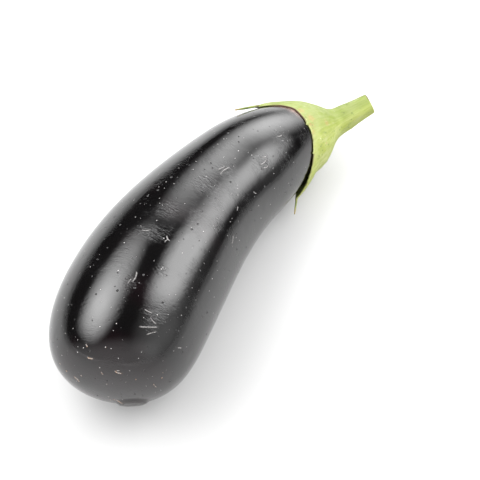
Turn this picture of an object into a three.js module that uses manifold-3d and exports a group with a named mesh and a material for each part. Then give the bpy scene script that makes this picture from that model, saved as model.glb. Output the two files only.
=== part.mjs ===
// An eggplant as picked, lying on a table, in millimetres with +Z up.
// The origin is at the middle of the footprint on the table.
// +X runs along the fruit, from the blossom end to the stem end.
// It is two grown bodies: the purple-black fruit, and the green calyx with its stalk.

import * as THREE from 'three';
import { mergeVertices } from 'three/addons/utils/BufferGeometryUtils.js';
import Module from 'manifold-3d';

const wasm = await Module();
wasm.setup();

// Driving dimensions of the fruit.
// Its spine is bowed in plan, towards +Y, and stations are shares of the spine's length.
const FRUIT_LENGTH = 202;
const BOW_CONTROL_LOW = [57, 26.2];
const BOW_CONTROL_HIGH = [145.5, 31.2];
const BELLY_RADIUS = 37.5;
const BELLY_STATION = 0.234;
const NECK_RADIUS = 28.4;
const NECK_STATION = 0.697;
const NECK_TAPER = 0.0735;
const BLOSSOM_END_FULLNESS = 0.86;
const BELLY_FULLNESS = 0.55;
const SHOULDER_FULLNESS = 0.5;
const STEM_END_FULLNESS = 0.4;
const TAPER_HANDLE = 0.4;

// The skin is slightly ridged along its length.
const RIDGES = [
  { count: 3, height: 0.25, turn: 40 },
  { count: 5, height: 0.15, turn: 10 },
];

// The blossom scar is a low corky pad beside the pole of the blossom end.
const SCAR_ARC = 18;
const SCAR_ANGLE = 216;
const SCAR_RADIUS = 7;
const SCAR_EDGE = 2.5;
const SCAR_HEIGHT = 1.2;

// How the fruit lies: the hollow side of the bow a little down, the stem end a little down,
// on a small flat spot of the belly and on one lobe of the calyx.
const ROLL = 15.8;
const PITCH = 4.5;
const FLAT_SPOT_DEPTH = 0.9;

// Driving dimensions of the calyx. Distances run over the skin from the pole of the stem end.
// Angles run round the neck: 0 is the outer side of the bow, 90 is up, 180 the hollow side.
const FIT_GAP = 0.42;
const RIM_DISTANCE = 32.7;
const FLARE_DISTANCE = 15;
const FLARE_EXTRA = 3;
const SKIRT_THICKNESS = 1.6;
const CROWN_THICKNESS = 0.5;
const CROWN_SIDE_FULLNESS = 1.6;
const CROWN_FALL_POWER = 1.3;
const CROWN_SPAN = 0.75;
const RIB_HEIGHT = 0.5;
const RIB_NARROWNESS = 1.25;
const RIB_ROOT_FADE = 8;
const RIB_TIP_FADE = 10;
const RIM_LIFT = 0.5;
const RIM_LIFT_WIDTH = 7;
const TIP_LIFT_ACROSS_POWER = 0.5;
const TIP_LIFT_ALONG_POWER = 1.6;
const EDGE_ROUND = 0.25;
const LINING_END_SHARE = 0.08;
const LOBES = [
  { at: 22, before: 36, after: 44, tip: 45, round: 1, point: 1.4, lift: 0.9 },
  { at: 198, before: 88, after: 34, tip: 48, round: 1.6, point: 1, lift: 2.2 },
  { at: 264, before: 34, after: 30, tip: 54, round: 1, point: 1.3, lift: 0.3 },
  { at: 318, before: 30, after: 32, tip: 53, round: 1, point: 1.3, lift: 0.8 },
];

// Each lobe ends in a dried thread: points as distance, angle and height over the skin.
const THREAD_ROOT_RADIUS = 1.0;
const THREAD_TIP_RADIUS = 0.45;
const THREADS = [
  [[39, 23, 2.0], [45, 25, 2.4], [50, 25, 2.3], [56, 23, 2.8]],
  [[41, 205, 3.0], [47, 208, 4.5], [52, 204, 5.8], [59, 199, 7.4]],
  [[49, 264, 1.5], [55, 265, 1.5], [59, 268, 1.8], [63, 272, 2.6]],
  [[48, 318, 1.6], [54, 318, 2.0], [58, 315, 2.6], [62, 310, 3.6]],
];

// Driving dimensions of the stalk, from its cut end to where it flares into the calyx.
const STALK_DIRECTION = [0.783, -0.418, 0.461];
const STALK_REACH = 24.4;
const STALK_ROOT_HANDLE = 4;
const STALK_END_HANDLE = 12;
const STALK_RADII = [5.5, 5.9, 6.4, 7.0];
const STALK_FLARE_START = 0.5;
const FLARE_PULL = 0.4;
const CUT_CHAMFER = 0.4;
const CUT_DISH = 0.5;
const CUT_PITH_SHARE = 0.6;

// How finely the surfaces are divided.
const FRUIT_RINGS = 46;
const FRUIT_SIDES = 48;
const CALYX_SIDES = 80;
const STALK_RINGS = 6;
const FLARE_RINGS = 5;
const SKIRT_RINGS = 7;
const LINING_RINGS = 10;
const THREAD_RINGS = 6;
const THREAD_SIDES = 6;
const CURVE_SAMPLES = 400;
const RING_EASING = 0.4;
const SLOPE_STEP = 0.4;
const MERGE_TOLERANCE = 1e-4;

const DEGREE = Math.PI / 180;
const UP = new THREE.Vector3(0, 0, 1);

const clamp01 = (value) => Math.min(1, Math.max(0, value));
const mix = (a, b, share) => a + (b - a) * share;
const sum = (...vectors) => vectors.reduce((total, v) => total.add(v), new THREE.Vector3());
const scaled = (vector, amount) => vector.clone().multiplyScalar(amount);

// The spine of the fruit

const spine = new THREE.CubicBezierCurve3(
  new THREE.Vector3(0, 0, 0),
  new THREE.Vector3(...BOW_CONTROL_LOW, 0),
  new THREE.Vector3(...BOW_CONTROL_HIGH, 0),
  new THREE.Vector3(FRUIT_LENGTH, 0, 0),
);
spine.arcLengthDivisions = CURVE_SAMPLES;
const spineLength = spine.getLength();

// The profile: the radius over the spine, from the blossom pole to the stem pole

function makeProfile() {
  const belly = BELLY_STATION * spineLength;
  const neck = NECK_STATION * spineLength;
  const handle = TAPER_HANDLE * (neck - belly);
  const shoulder = SHOULDER_FULLNESS * (spineLength - neck);
  const bezier = (...points) => {
    const curve = new THREE.CubicBezierCurve(...points.map(([x, y]) => new THREE.Vector2(x, y)));
    curve.arcLengthDivisions = CURVE_SAMPLES;
    return curve;
  };
  const profile = new THREE.CurvePath();
  profile.add(bezier(
    [0, 0],
    [0, BELLY_RADIUS * BLOSSOM_END_FULLNESS],
    [belly * (1 - BELLY_FULLNESS), BELLY_RADIUS],
    [belly, BELLY_RADIUS],
  ));
  profile.add(bezier(
    [belly, BELLY_RADIUS],
    [belly + handle, BELLY_RADIUS],
    [neck - handle, NECK_RADIUS + NECK_TAPER * handle],
    [neck, NECK_RADIUS],
  ));
  profile.add(bezier(
    [neck, NECK_RADIUS],
    [neck + shoulder, NECK_RADIUS - NECK_TAPER * shoulder],
    [spineLength, NECK_RADIUS * STEM_END_FULLNESS],
    [spineLength, 0],
  ));
  return profile;
}

const profile = makeProfile();
const profileLength = profile.getLength();

// The direction round the neck of an angle, at a place on the spine
function radialAt(share, angle) {
  const tangent = spine.getTangentAt(share);
  const side = new THREE.Vector3().crossVectors(UP, tangent).normalize();
  return sum(scaled(side, Math.cos(angle)), scaled(UP, Math.sin(angle)));
}

function bodyPoint(arc, angle, lift) {
  const place = profile.getPoint(clamp01(arc / profileLength));
  const before = profile.getPoint(clamp01((arc - SLOPE_STEP) / profileLength));
  const after = profile.getPoint(clamp01((arc + SLOPE_STEP) / profileLength));
  const slope = after.sub(before);
  if (arc < SLOPE_STEP) slope.set(0, 1);
  if (arc > profileLength - SLOPE_STEP) slope.set(0, -1);
  slope.normalize();
  const share = clamp01(place.x / spineLength);
  const radial = radialAt(share, angle);
  const tangent = spine.getTangentAt(share);
  const onSkin = sum(spine.getPointAt(share), scaled(radial, place.y));
  return sum(onSkin, scaled(radial, slope.x * lift), scaled(tangent, -slope.y * lift));
}

// Height of the ridges over the smooth body, which fade out at both poles
function ridgeHeight(arc, angle) {
  const radius = profile.getPoint(clamp01(arc / profileLength)).y;
  const fade = (radius / BELLY_RADIUS) ** 2;
  const heights = RIDGES.map((r) => r.height * Math.cos(r.count * angle + r.turn * DEGREE));
  return fade * heights.reduce((total, h) => total + h, 0);
}

const scarCentre = bodyPoint(SCAR_ARC, SCAR_ANGLE * DEGREE, 0);

// Height of the scar's pad, with a steep round edge
function scarHeight(point) {
  const past = (point.distanceTo(scarCentre) - SCAR_RADIUS) / SCAR_EDGE;
  const fall = clamp01(0.5 - past);
  return SCAR_HEIGHT * fall * fall * (3 - 2 * fall);
}

function skinPoint(arc, angle, lift = 0) {
  const relief = ridgeHeight(arc, angle) + scarHeight(bodyPoint(arc, angle, 0));
  return bodyPoint(arc, angle, relief + lift);
}

// A closed body from rings of points, with a single point before the first and after the last
function closedBody(firstPole, rings, lastPole) {
  const sides = rings[0].length;
  const points = [firstPole, ...rings.flat(), lastPole];
  const last = points.length - 1;
  const at = (ring, side) => 1 + ring * sides + (side % sides);
  const index = [];
  for (let side = 0; side < sides; side += 1) {
    index.push(0, at(0, side), at(0, side + 1));
    index.push(last, at(rings.length - 1, side + 1), at(rings.length - 1, side));
    for (let ring = 0; ring + 1 < rings.length; ring += 1) {
      index.push(at(ring, side), at(ring + 1, side), at(ring + 1, side + 1));
      index.push(at(ring, side), at(ring + 1, side + 1), at(ring, side + 1));
    }
  }
  const geometry = new THREE.BufferGeometry().setFromPoints(points);
  geometry.setIndex(index);
  return geometry;
}

// The two ways between a geometry and a solid that can be joined and cut

function solidOf(geometry) {
  const bare = geometry.clone();
  bare.deleteAttribute('normal');
  bare.deleteAttribute('uv');
  const merged = mergeVertices(bare, MERGE_TOLERANCE);
  return new wasm.Manifold(new wasm.Mesh({
    numProp: 3,
    vertProperties: new Float32Array(merged.attributes.position.array),
    triVerts: new Uint32Array(merged.index.array),
  }));
}

function geometryOf(solid) {
  const mesh = solid.getMesh();
  const geometry = new THREE.BufferGeometry();
  geometry.setAttribute('position', new THREE.BufferAttribute(mesh.vertProperties, 3));
  geometry.setIndex(new THREE.BufferAttribute(mesh.triVerts, 1));
  geometry.computeVertexNormals();
  return geometry;
}

// The body turned the way it lies
const lie = new THREE.Matrix4()
  .makeRotationY(PITCH * DEGREE)
  .multiply(new THREE.Matrix4().makeRotationX(ROLL * DEGREE));

// The fruit

function fruitGeometry() {
  const sideAngles = Array.from({ length: FRUIT_SIDES }, (_, k) => (k / FRUIT_SIDES) * 2 * Math.PI);
  const rings = [];
  for (let k = 1; k < FRUIT_RINGS; k += 1) {
    // rings stand closer together at both ends
    const even = k / FRUIT_RINGS;
    const eased = (1 - Math.cos(even * Math.PI)) / 2;
    const arc = profileLength * mix(even, eased, RING_EASING);
    rings.push(sideAngles.map((angle) => skinPoint(arc, angle)));
  }
  // The rings run from the stem end to the blossom end, so that the faces point out.
  rings.reverse();
  return closedBody(skinPoint(profileLength, 0), rings, skinPoint(0, 0));
}

// The calyx

const turnTo = (angle, centre) => ((((angle - centre + 180) % 360) + 360) % 360) - 180;

// How far across a lobe an angle lies: 0 in its middle, 1 at its foot and beyond
function acrossLobe(angle, lobe) {
  const turn = turnTo(angle, lobe.at);
  return clamp01(Math.abs(turn) / (turn < 0 ? lobe.before : lobe.after));
}

// 1 on the hollow side of the bow, where the crown is fuller, 0 on the outer half
const hollowSide = (angle) => clamp01(-Math.cos(angle * DEGREE)) ** 2;

const flareDistance = (angle) => FLARE_DISTANCE + FLARE_EXTRA * hollowSide(angle);

function rimDistance(angle) {
  const reaches = LOBES.map((lobe) => {
    const across = acrossLobe(angle, lobe);
    return (lobe.tip - RIM_DISTANCE) * (1 - across ** lobe.round) ** lobe.point;
  });
  return RIM_DISTANCE + Math.max(...reaches);
}

// Gap between the skin and the inside of the calyx, which opens at the rim and the lobe tips
function innerLift(angle, distance) {
  const toRim = clamp01((distance - RIM_DISTANCE + RIM_LIFT_WIDTH) / RIM_LIFT_WIDTH);
  let lift = FIT_GAP + RIM_LIFT * toRim ** 2;
  for (const lobe of LOBES) {
    const along = Math.max(0, (distance - RIM_DISTANCE) / (lobe.tip - RIM_DISTANCE));
    const inward = (1 - acrossLobe(angle, lobe)) ** TIP_LIFT_ACROSS_POWER;
    lift += lobe.lift * inward * along ** TIP_LIFT_ALONG_POWER;
  }
  return lift;
}

function calyxThickness(angle, distance) {
  const toCrown = clamp01((RIM_DISTANCE - distance) / (RIM_DISTANCE - FLARE_DISTANCE));
  const crown = Math.sin(toCrown * Math.PI * CROWN_SPAN);
  let thickness = SKIRT_THICKNESS + CROWN_THICKNESS * toCrown ** CROWN_FALL_POWER;
  thickness += CROWN_SIDE_FULLNESS * hollowSide(angle) * crown;
  for (const lobe of LOBES) {
    const middle = clamp01(1 - RIB_NARROWNESS * acrossLobe(angle, lobe)) ** 2;
    const pastFlare = clamp01((distance - FLARE_DISTANCE) / RIB_ROOT_FADE);
    const beforeTip = clamp01((lobe.tip - distance) / RIB_TIP_FADE);
    thickness += RIB_HEIGHT * middle * pastFlare * beforeTip;
  }
  return thickness;
}

function calyxPoint(angle, distance, height) {
  return skinPoint(profileLength - distance, angle * DEGREE, innerLift(angle, distance) + height);
}

// The stalk's path, from the stem pole to the middle of the cut end

const stemPole = bodyPoint(profileLength, 0, 0);
const neckDirection = spine.getTangentAt(1);
const stalkDirection = new THREE.Vector3(...STALK_DIRECTION).normalize();
const cutCentre = sum(stemPole, scaled(stalkDirection, STALK_REACH));
const stalkPath = new THREE.CubicBezierCurve3(
  stemPole,
  sum(stemPole, scaled(neckDirection, STALK_ROOT_HANDLE)),
  sum(cutCentre, scaled(stalkDirection, -STALK_END_HANDLE)),
  cutCentre,
);

// A ring round the stalk, lined up with the angles round the neck
function stalkRing(share, radius, slide, angles) {
  const tangent = stalkPath.getTangent(share);
  const neckSide = new THREE.Vector3().crossVectors(UP, neckDirection).normalize();
  const side = sum(neckSide, scaled(tangent, -neckSide.dot(tangent))).normalize();
  const rise = new THREE.Vector3().crossVectors(tangent, side);
  const centre = sum(stalkPath.getPoint(share), scaled(tangent, slide));
  return angles.map((angle) => sum(
    centre,
    scaled(side, radius * Math.cos(angle * DEGREE)),
    scaled(rise, radius * Math.sin(angle * DEGREE)),
  ));
}

function stalkRadius(fromCut) {
  const place = fromCut * (STALK_RADII.length - 1);
  const low = Math.min(Math.floor(place), STALK_RADII.length - 2);
  return mix(STALK_RADII[low], STALK_RADII[low + 1], place - low);
}

function stalkRings(angles) {
  const endRadius = STALK_RADII[0];
  const rings = [
    stalkRing(1, endRadius * CUT_PITH_SHARE, -CUT_DISH, angles),
    stalkRing(1, endRadius - CUT_CHAMFER, 0, angles),
  ];
  for (let k = 0; k <= STALK_RINGS; k += 1) {
    const fromCut = k / STALK_RINGS;
    const slide = k === 0 ? -CUT_CHAMFER : 0;
    rings.push(stalkRing(mix(1, STALK_FLARE_START, fromCut), stalkRadius(fromCut), slide, angles));
  }
  return rings;
}

// The flare: each line leaves the stalk along it and runs in a fillet on to the calyx
function flareRings(lastStalkRing, angles) {
  const tangent = stalkPath.getTangent(STALK_FLARE_START);
  const lines = angles.map((angle, k) => {
    const start = lastStalkRing[k];
    const landing = (distance) => calyxPoint(angle, distance, calyxThickness(angle, distance));
    const end = landing(flareDistance(angle));
    const outward = sum(landing(flareDistance(angle) + 1), scaled(end, -1)).normalize();
    const pull = start.distanceTo(end) * FLARE_PULL;
    return new THREE.CubicBezierCurve3(
      start,
      sum(start, scaled(tangent, -pull)),
      sum(end, scaled(outward, -pull)),
      end,
    );
  });
  const rings = [];
  for (let k = 1; k <= FLARE_RINGS; k += 1) {
    rings.push(lines.map((line) => line.getPoint(k / FLARE_RINGS)));
  }
  return rings;
}

function skirtRings(angles) {
  const rings = [];
  for (let k = 1; k <= SKIRT_RINGS; k += 1) {
    const share = k / SKIRT_RINGS;
    const edge = k === SKIRT_RINGS ? EDGE_ROUND : 0;
    rings.push(angles.map((angle) => {
      const distance = mix(flareDistance(angle), rimDistance(angle), share);
      return calyxPoint(angle, distance, calyxThickness(angle, distance) - edge);
    }));
  }
  rings.push(angles.map((angle) => {
    const distance = rimDistance(angle);
    return calyxPoint(angle, distance + EDGE_ROUND, calyxThickness(angle, distance) / 2);
  }));
  return rings;
}

function liningRings(angles) {
  const rings = [];
  for (let k = 0; k < LINING_RINGS; k += 1) {
    const share = mix(1, LINING_END_SHARE, k / (LINING_RINGS - 1));
    rings.push(angles.map((angle) => calyxPoint(angle, rimDistance(angle) * share, 0)));
  }
  return rings;
}

function calyxGeometry() {
  const angles = Array.from({ length: CALYX_SIDES }, (_, k) => (k / CALYX_SIDES) * 360);
  const stalk = stalkRings(angles);
  const rings = [
    ...stalk,
    ...flareRings(stalk[stalk.length - 1], angles),
    ...skirtRings(angles),
    ...liningRings(angles),
  ];
  const cutMiddle = sum(cutCentre, scaled(stalkDirection, -CUT_DISH));
  return closedBody(cutMiddle, rings, bodyPoint(profileLength, 0, FIT_GAP));
}

// A dried thread: a thin tapered tube along its points, with pointed ends
function threadGeometry(places) {
  const path = new THREE.CatmullRomCurve3(
    places.map(([distance, angle, height]) => (
      skinPoint(profileLength - distance, angle * DEGREE, height)
    )),
  );
  const frames = path.computeFrenetFrames(THREAD_RINGS, false);
  const rings = [];
  for (let k = 0; k <= THREAD_RINGS; k += 1) {
    const radius = mix(THREAD_ROOT_RADIUS, THREAD_TIP_RADIUS, k / THREAD_RINGS);
    const ring = [];
    for (let side = 0; side < THREAD_SIDES; side += 1) {
      const turn = (side / THREAD_SIDES) * 2 * Math.PI;
      ring.push(sum(
        path.getPointAt(k / THREAD_RINGS),
        scaled(frames.normals[k], radius * Math.cos(turn)),
        scaled(frames.binormals[k], radius * Math.sin(turn)),
      ));
    }
    rings.push(ring);
  }
  // The rings run from the tip to the root, so that the faces point out.
  rings.reverse();
  return closedBody(path.getPointAt(1), rings, path.getPointAt(0));
}

// The pieces where they lie

const fruitWhole = solidOf(fruitGeometry().applyMatrix4(lie));
const lowest = fruitWhole.boundingBox().min[2];
const tableHeight = lowest + FLAT_SPOT_DEPTH;

// The flat spot is where the table's top cuts the belly.
const table = new THREE.BoxGeometry(2 * FRUIT_LENGTH, FRUIT_LENGTH, FRUIT_LENGTH);
table.translate(FRUIT_LENGTH / 2, 0, tableHeight - FRUIT_LENGTH / 2);
const fruitSolid = fruitWhole.subtract(solidOf(table));

const calyxSolid = THREADS.reduce(
  (whole, places) => whole.add(solidOf(threadGeometry(places).applyMatrix4(lie))),
  solidOf(calyxGeometry().applyMatrix4(lie)),
);

const fruit = new THREE.Mesh(
  geometryOf(fruitSolid),
  new THREE.MeshStandardMaterial({ color: 0x1b1517, roughness: 0.22, metalness: 0 }),
);
fruit.name = 'fruit';

const calyx = new THREE.Mesh(
  geometryOf(calyxSolid),
  new THREE.MeshStandardMaterial({ color: 0xc9dc86, roughness: 0.7, metalness: 0 }),
);
calyx.name = 'calyx_stem';

const eggplant = new THREE.Group();
eggplant.add(fruit, calyx);

// The group is moved so that the origin is at the middle of the footprint, on the table.
const box = new THREE.Box3().setFromObject(eggplant, true);
const middle = box.getCenter(new THREE.Vector3());
eggplant.position.set(-middle.x, -middle.y, -tableHeight);
eggplant.updateMatrixWorld(true);

export default eggplant;
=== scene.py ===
# The looks of an eggplant as picked, lying on a pale table, laid out as a Blender add-on.
# It has two pieces: the glossy fruit, and the green calyx with its stalk.
# Everything is in metres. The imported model's frame says where each piece lies.

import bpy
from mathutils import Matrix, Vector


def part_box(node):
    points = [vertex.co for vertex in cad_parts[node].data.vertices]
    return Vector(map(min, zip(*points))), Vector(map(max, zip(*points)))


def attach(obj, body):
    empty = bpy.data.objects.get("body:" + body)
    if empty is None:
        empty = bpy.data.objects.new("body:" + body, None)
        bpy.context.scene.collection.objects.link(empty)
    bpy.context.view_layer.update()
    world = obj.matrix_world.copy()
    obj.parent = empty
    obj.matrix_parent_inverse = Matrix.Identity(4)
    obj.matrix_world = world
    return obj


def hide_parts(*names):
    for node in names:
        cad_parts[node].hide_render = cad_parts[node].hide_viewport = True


bl_info = {
    "name": "Eggplant",
    "version": (1, 0, 0),
    "blender": (4, 5, 0),
    "location": "3D View > Sidebar > Eggplant",
    "description": "Models an eggplant with its calyx and stalk, and the stage that it lies on",
    "category": "Add Mesh",
}

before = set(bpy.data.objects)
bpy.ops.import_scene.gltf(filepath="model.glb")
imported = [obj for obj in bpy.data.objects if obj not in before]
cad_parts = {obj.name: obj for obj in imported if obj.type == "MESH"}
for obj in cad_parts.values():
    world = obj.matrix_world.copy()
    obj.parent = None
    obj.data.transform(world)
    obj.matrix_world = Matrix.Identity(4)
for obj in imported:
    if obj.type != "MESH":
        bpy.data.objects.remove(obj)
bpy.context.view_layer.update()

import math
import random
from typing import NamedTuple

import bmesh
import bpy
import numpy as np
from bpy.props import FloatProperty, FloatVectorProperty, PointerProperty
from mathutils import Matrix, Quaternion, Vector, kdtree, noise

# The fruit's form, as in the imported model. Its spine is bowed in plan, towards +Y.
BOW_CONTROL_LOW = (0.057, 0.0262)
BOW_CONTROL_HIGH = (0.1455, 0.0312)
BELLY_STATION = 0.234
NECK_STATION = 0.697
NECK_TAPER = 0.0735
BLOSSOM_END_FULLNESS = 0.86
BELLY_FULLNESS = 0.55
SHOULDER_FULLNESS = 0.5
STEM_END_FULLNESS = 0.4
TAPER_HANDLE = 0.4
SLOPE_STEP = 0.0004
CURVE_SAMPLES = 801
CLOUD_SHIFT = (17.3, 5.1, 9.7)

# Ridges along the fruit, as count round it, height and turn
RIDGES = ((3, 0.00025, 40), (5, 0.00015, 10))

# The blossom scar, a low corky pad beside the pole of the blossom end
SCAR_ARC = 0.018
SCAR_ANGLE = 216
SCAR_RADIUS = 0.007
SCAR_EDGE = 0.0038
SCAR_HEIGHT = 0.0012

# How the place of a point on the skin is sought: steps along the spine, batches of points,
# and the stride over the profile's points
SPINE_STEPS = 8
PLACE_BATCHES = 60
PROFILE_STRIDE = 4

# How the fruit lies: its hollow side a little down, and its stem end a little down
ROLL = math.radians(15.8)
PITCH = math.radians(4.5)
FLAT_SPOT_SOFTNESS = 0.00025
# How finely the fruit's box is measured
BOX_RINGS = 400
BOX_SIDES = 360

# The calyx. Distances run over the skin from the pole of the stem end.
# Angles run round the neck: 0 is the outer side of the bow, 90 is up, 180 the hollow side.
FIT_GAP = 0.00042
FLARE_DISTANCE = 0.015
FLARE_EXTRA = 0.0015
CROWN_THICKNESS = 0.0005
CROWN_SIDE_FULLNESS = 0.0012
CROWN_FALL_POWER = 1.3
CROWN_SPAN = 0.75
RIB_HEIGHT = 0.0005
RIB_NARROWNESS = 1.25
RIB_ROOT_FADE = 0.008
RIB_TIP_FADE = 0.010
TIP_LIFT_ACROSS_POWER = 0.5
TIP_LIFT_ALONG_POWER = 1.6
RIM_GAP = 0.00005
RIM_CLOSING_WIDTH = 0.009
RIM_THINNING = 0.0010
RIM_THINNING_WIDTH = 0.008
RIM_WAVE_HEIGHT = 0.00045
RIM_WAVE_SIZE = 0.005
RIM_WAVE_RADIUS = 0.03
LINING_END_SHARE = 0.08


class Lobe(NamedTuple):
    """One lobe of the calyx: its place, its reach to both sides, its tip, its point and its lift."""

    at: float
    before: float
    after: float
    tip: float
    point: float
    lift: float


LOBES = (
    Lobe(22, 36, 44, 0.045, 1.4, 0.0005),
    Lobe(198, 90, 34, 0.0515, 1.25, 0.0022),
    Lobe(264, 34, 30, 0.054, 1.3, 0.0003),
    Lobe(318, 30, 32, 0.053, 1.3, 0.0008),
)

# The lobes' dried threads: points as distance, angle and height over the skin
THREADS = (
    ((0.039, 23, 0.0008), (0.045, 25, 0.0012), (0.050, 25, 0.0016), (0.056, 23, 0.0026)),
    ((0.041, 203, 0.0008), (0.047, 204, 0.0022), (0.052, 203, 0.0046), (0.059, 199, 0.0072)),
    ((0.049, 264, 0.0008), (0.055, 265, 0.0011), (0.059, 268, 0.0018), (0.063, 272, 0.0026)),
    ((0.048, 318, 0.0009), (0.054, 318, 0.0017), (0.058, 315, 0.0026), (0.062, 310, 0.0036)),
)
THREAD_RADII = (0.0011, 0.00085, 0.0009, 0.0007, 0.00035)
THREAD_FLATNESS = 0.7
THREAD_TWIST = 2.5

# Small pale teeth on the rim, as angles round the neck
RIM_TEETH = (98, 138, 166, 243, 292, 346)
TOOTH_LENGTH = 0.0011
TOOTH_WIDTH = 1.2

# The stalk, from its cut end to where it flares into the calyx
STALK_DIRECTION = (0.783, -0.418, 0.461)
STALK_ROOT_HANDLE = 0.004
STALK_END_HANDLE = 0.012
STALK_RADII = (0.0055, 0.0059, 0.0064, 0.0070)
STALK_FLARE_START = 0.5
STALK_RIBS = 5
STALK_RIB_HEIGHT = 0.00022
FLARE_PULL = 0.4
CUT_CHAMFER = 0.0004
CUT_DISH = 0.0005
CUT_PITH_SHARE = 0.6

# How finely the surfaces are divided. The easing crowds the fruit's rings towards its ends.
FRUIT_SIDES = 72
FRUIT_RINGS = 58
FRUIT_SUBDIVISION = 2
RING_EASING = 0.4
CALYX_SIDES = 320
CUT_RINGS = 7
STALK_RINGS = 26
FLARE_RINGS = 22
SKIRT_RINGS = 44
EDGE_RINGS = 5
LINING_RINGS = 16
THREAD_RINGS = 30
THREAD_SIDES = 12


# Sizes and colours that a user may change

def length_setting(name, description, default):
    return FloatProperty(name=name, description=description, default=default, unit="LENGTH")


def colour_setting(name, description, default):
    return FloatVectorProperty(
        name=name, description=description, default=default, subtype="COLOR", min=0.0, max=1.0
    )


class EggplantFruitSettings(bpy.types.PropertyGroup):
    """Sizes and finish of the fruit."""

    length: length_setting(
        "Length", "Straight length of the fruit's spine, from pole to pole", 0.202
    )
    belly_radius: length_setting(
        "Belly radius", "Radius of the fruit at its thickest place", 0.0375
    )
    neck_radius: length_setting(
        "Neck radius", "Radius of the fruit where the neck narrows to the stem end", 0.0284
    )
    skin_colour: colour_setting(
        "Skin colour", "Colour of the dark skin", (0.0025, 0.0023, 0.0024)
    )
    flush_colour: colour_setting(
        "Flush colour", "Warmer purple that clouds the dark skin", (0.0046, 0.0023, 0.0029)
    )
    # Pale skin beside the calyx, partly a painted reflection of the calyx.
    pale_and_reflection_colour: colour_setting(
        "Blush colour", "Pale skin beside the calyx", (0.200, 0.125, 0.105)
    )
    cork_colour: colour_setting(
        "Cork colour", "Healed scars on the skin", (0.340, 0.200, 0.110)
    )
    scar_colour: colour_setting(
        "Scar colour", "Dark cork of the blossom scar", (0.014, 0.010, 0.009)
    )
    speck_colour: colour_setting(
        "Speck colour", "Small pale specks all over the skin", (0.440, 0.425, 0.415)
    )
    scratch_colour: colour_setting(
        "Scratch colour", "Dry scratches", (0.190, 0.180, 0.175)
    )
    gloss: FloatProperty(
        name="Gloss roughness",
        description="Roughness of the clean skin",
        default=0.11,
        min=0.0,
        max=1.0,
        subtype="FACTOR",
    )


class EggplantCalyxSettings(bpy.types.PropertyGroup):
    """Sizes and finish of the calyx and its stalk."""

    rim_distance: length_setting(
        "Rim distance", "How far the calyx reaches over the skin between its lobes", 0.0327
    )
    thickness: length_setting(
        "Thickness", "Thickness of the calyx over the shoulder of the fruit", 0.0016
    )
    stalk_reach: length_setting(
        "Stalk reach", "Distance from the stem end of the fruit to the middle of the cut", 0.0243
    )
    green_colour: colour_setting(
        "Green", "Yellow green of the stalk and the calyx", (0.214, 0.254, 0.034)
    )
    pale_colour: colour_setting(
        "Pale green", "Pale streaks and bloom on the calyx", (0.305, 0.322, 0.122)
    )
    # The deep green is also painted as shade over the calyx's upper side.
    deep_green_and_shade_colour: colour_setting(
        "Deep green", "Dark green speckles, and the green of the ripe side", (0.066, 0.108, 0.020)
    )
    tan_colour: colour_setting(
        "Tan", "Tan speckles and corky spots", (0.270, 0.165, 0.062)
    )
    dry_colour: colour_setting(
        "Dry brown", "Dried rim, thread necks and the edge of the cut", (0.060, 0.024, 0.015)
    )
    wart_colour: colour_setting(
        "Warts", "Small pale warts on the calyx", (0.400, 0.410, 0.300)
    )
    pith_colour: colour_setting(
        "Pith", "Cream pith of the cut end", (0.420, 0.400, 0.280)
    )


class EggplantStageSettings(bpy.types.PropertyGroup):
    """Floor, lights and camera."""

    floor_colour: colour_setting(
        "Floor colour", "Colour of the pale floor", (0.435, 0.435, 0.435)
    )
    softbox_level: FloatProperty(
        name="Softbox level",
        description="Brightness of all the softboxes, against their own levels",
        default=0.66,
        min=0.0,
    )
    room_level: FloatProperty(
        name="Room level",
        description="Brightness of the even light from all round",
        default=1.5,
        min=0.0,
    )
    camera_azimuth: FloatProperty(
        name="Camera azimuth",
        description="Direction that the camera stands in, from the front towards the right",
        default=math.radians(-56.9),
        subtype="ANGLE",
    )
    camera_elevation: FloatProperty(
        name="Camera elevation",
        description="Height of the camera over the horizon",
        default=math.radians(56.8),
        subtype="ANGLE",
    )
    camera_distance: length_setting(
        "Camera distance", "Distance from the camera to the point that it looks at", 0.75
    )
    camera_lens: FloatProperty(
        name="Camera lens",
        description="Focal length in millimetres",
        default=113.7,
    )


# Curves

def bezier(points, shares):
    """Points of a cubic curve at the given shares."""
    p = np.asarray(points, float)
    t = np.asarray(shares, float)[..., None]
    s = 1 - t
    return s**3 * p[0] + 3 * s**2 * t * p[1] + 3 * s * t**2 * p[2] + t**3 * p[3]


def bezier_direction(points, shares):
    """Unit tangents of a cubic curve at the given shares."""
    p = np.asarray(points, float)
    t = np.asarray(shares, float)[..., None]
    s = 1 - t
    slope = s**2 * (p[1] - p[0]) + 2 * s * t * (p[2] - p[1]) + t**2 * (p[3] - p[2])
    return unit(slope)


def unit(vectors):
    """The vectors at length one."""
    return vectors / np.maximum(np.linalg.norm(vectors, axis=-1, keepdims=True), 1e-12)


def sideways_of(tangent):
    """The level direction to the left of a tangent."""
    return unit(np.cross((0, 0, 1), tangent))


def mound(points, centre, radius):
    """1 at the centre, and less and less around it."""
    gap = np.linalg.norm(points - centre, axis=1)
    return np.exp(-((gap / radius) ** 2))


def patch(points, centre, radius):
    """1 in the middle of a patch, to 0.3 of its radius, and 0 from 1.3 of it."""
    gap = np.linalg.norm(points - centre, axis=1)
    return smooth_step(PATCH_REACH - gap / radius)


def lengths_along(points):
    """Length of a polyline up to each of its points."""
    steps = np.linalg.norm(np.diff(points, axis=0), axis=1)
    return np.concatenate([[0], np.cumsum(steps)])


def smooth_step(values):
    """0 below 0, 1 above 1, and smooth between."""
    t = np.clip(values, 0, 1)
    return t * t * (3 - 2 * t)


def mix(a, b, share):
    return a + (b - a) * share


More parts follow.
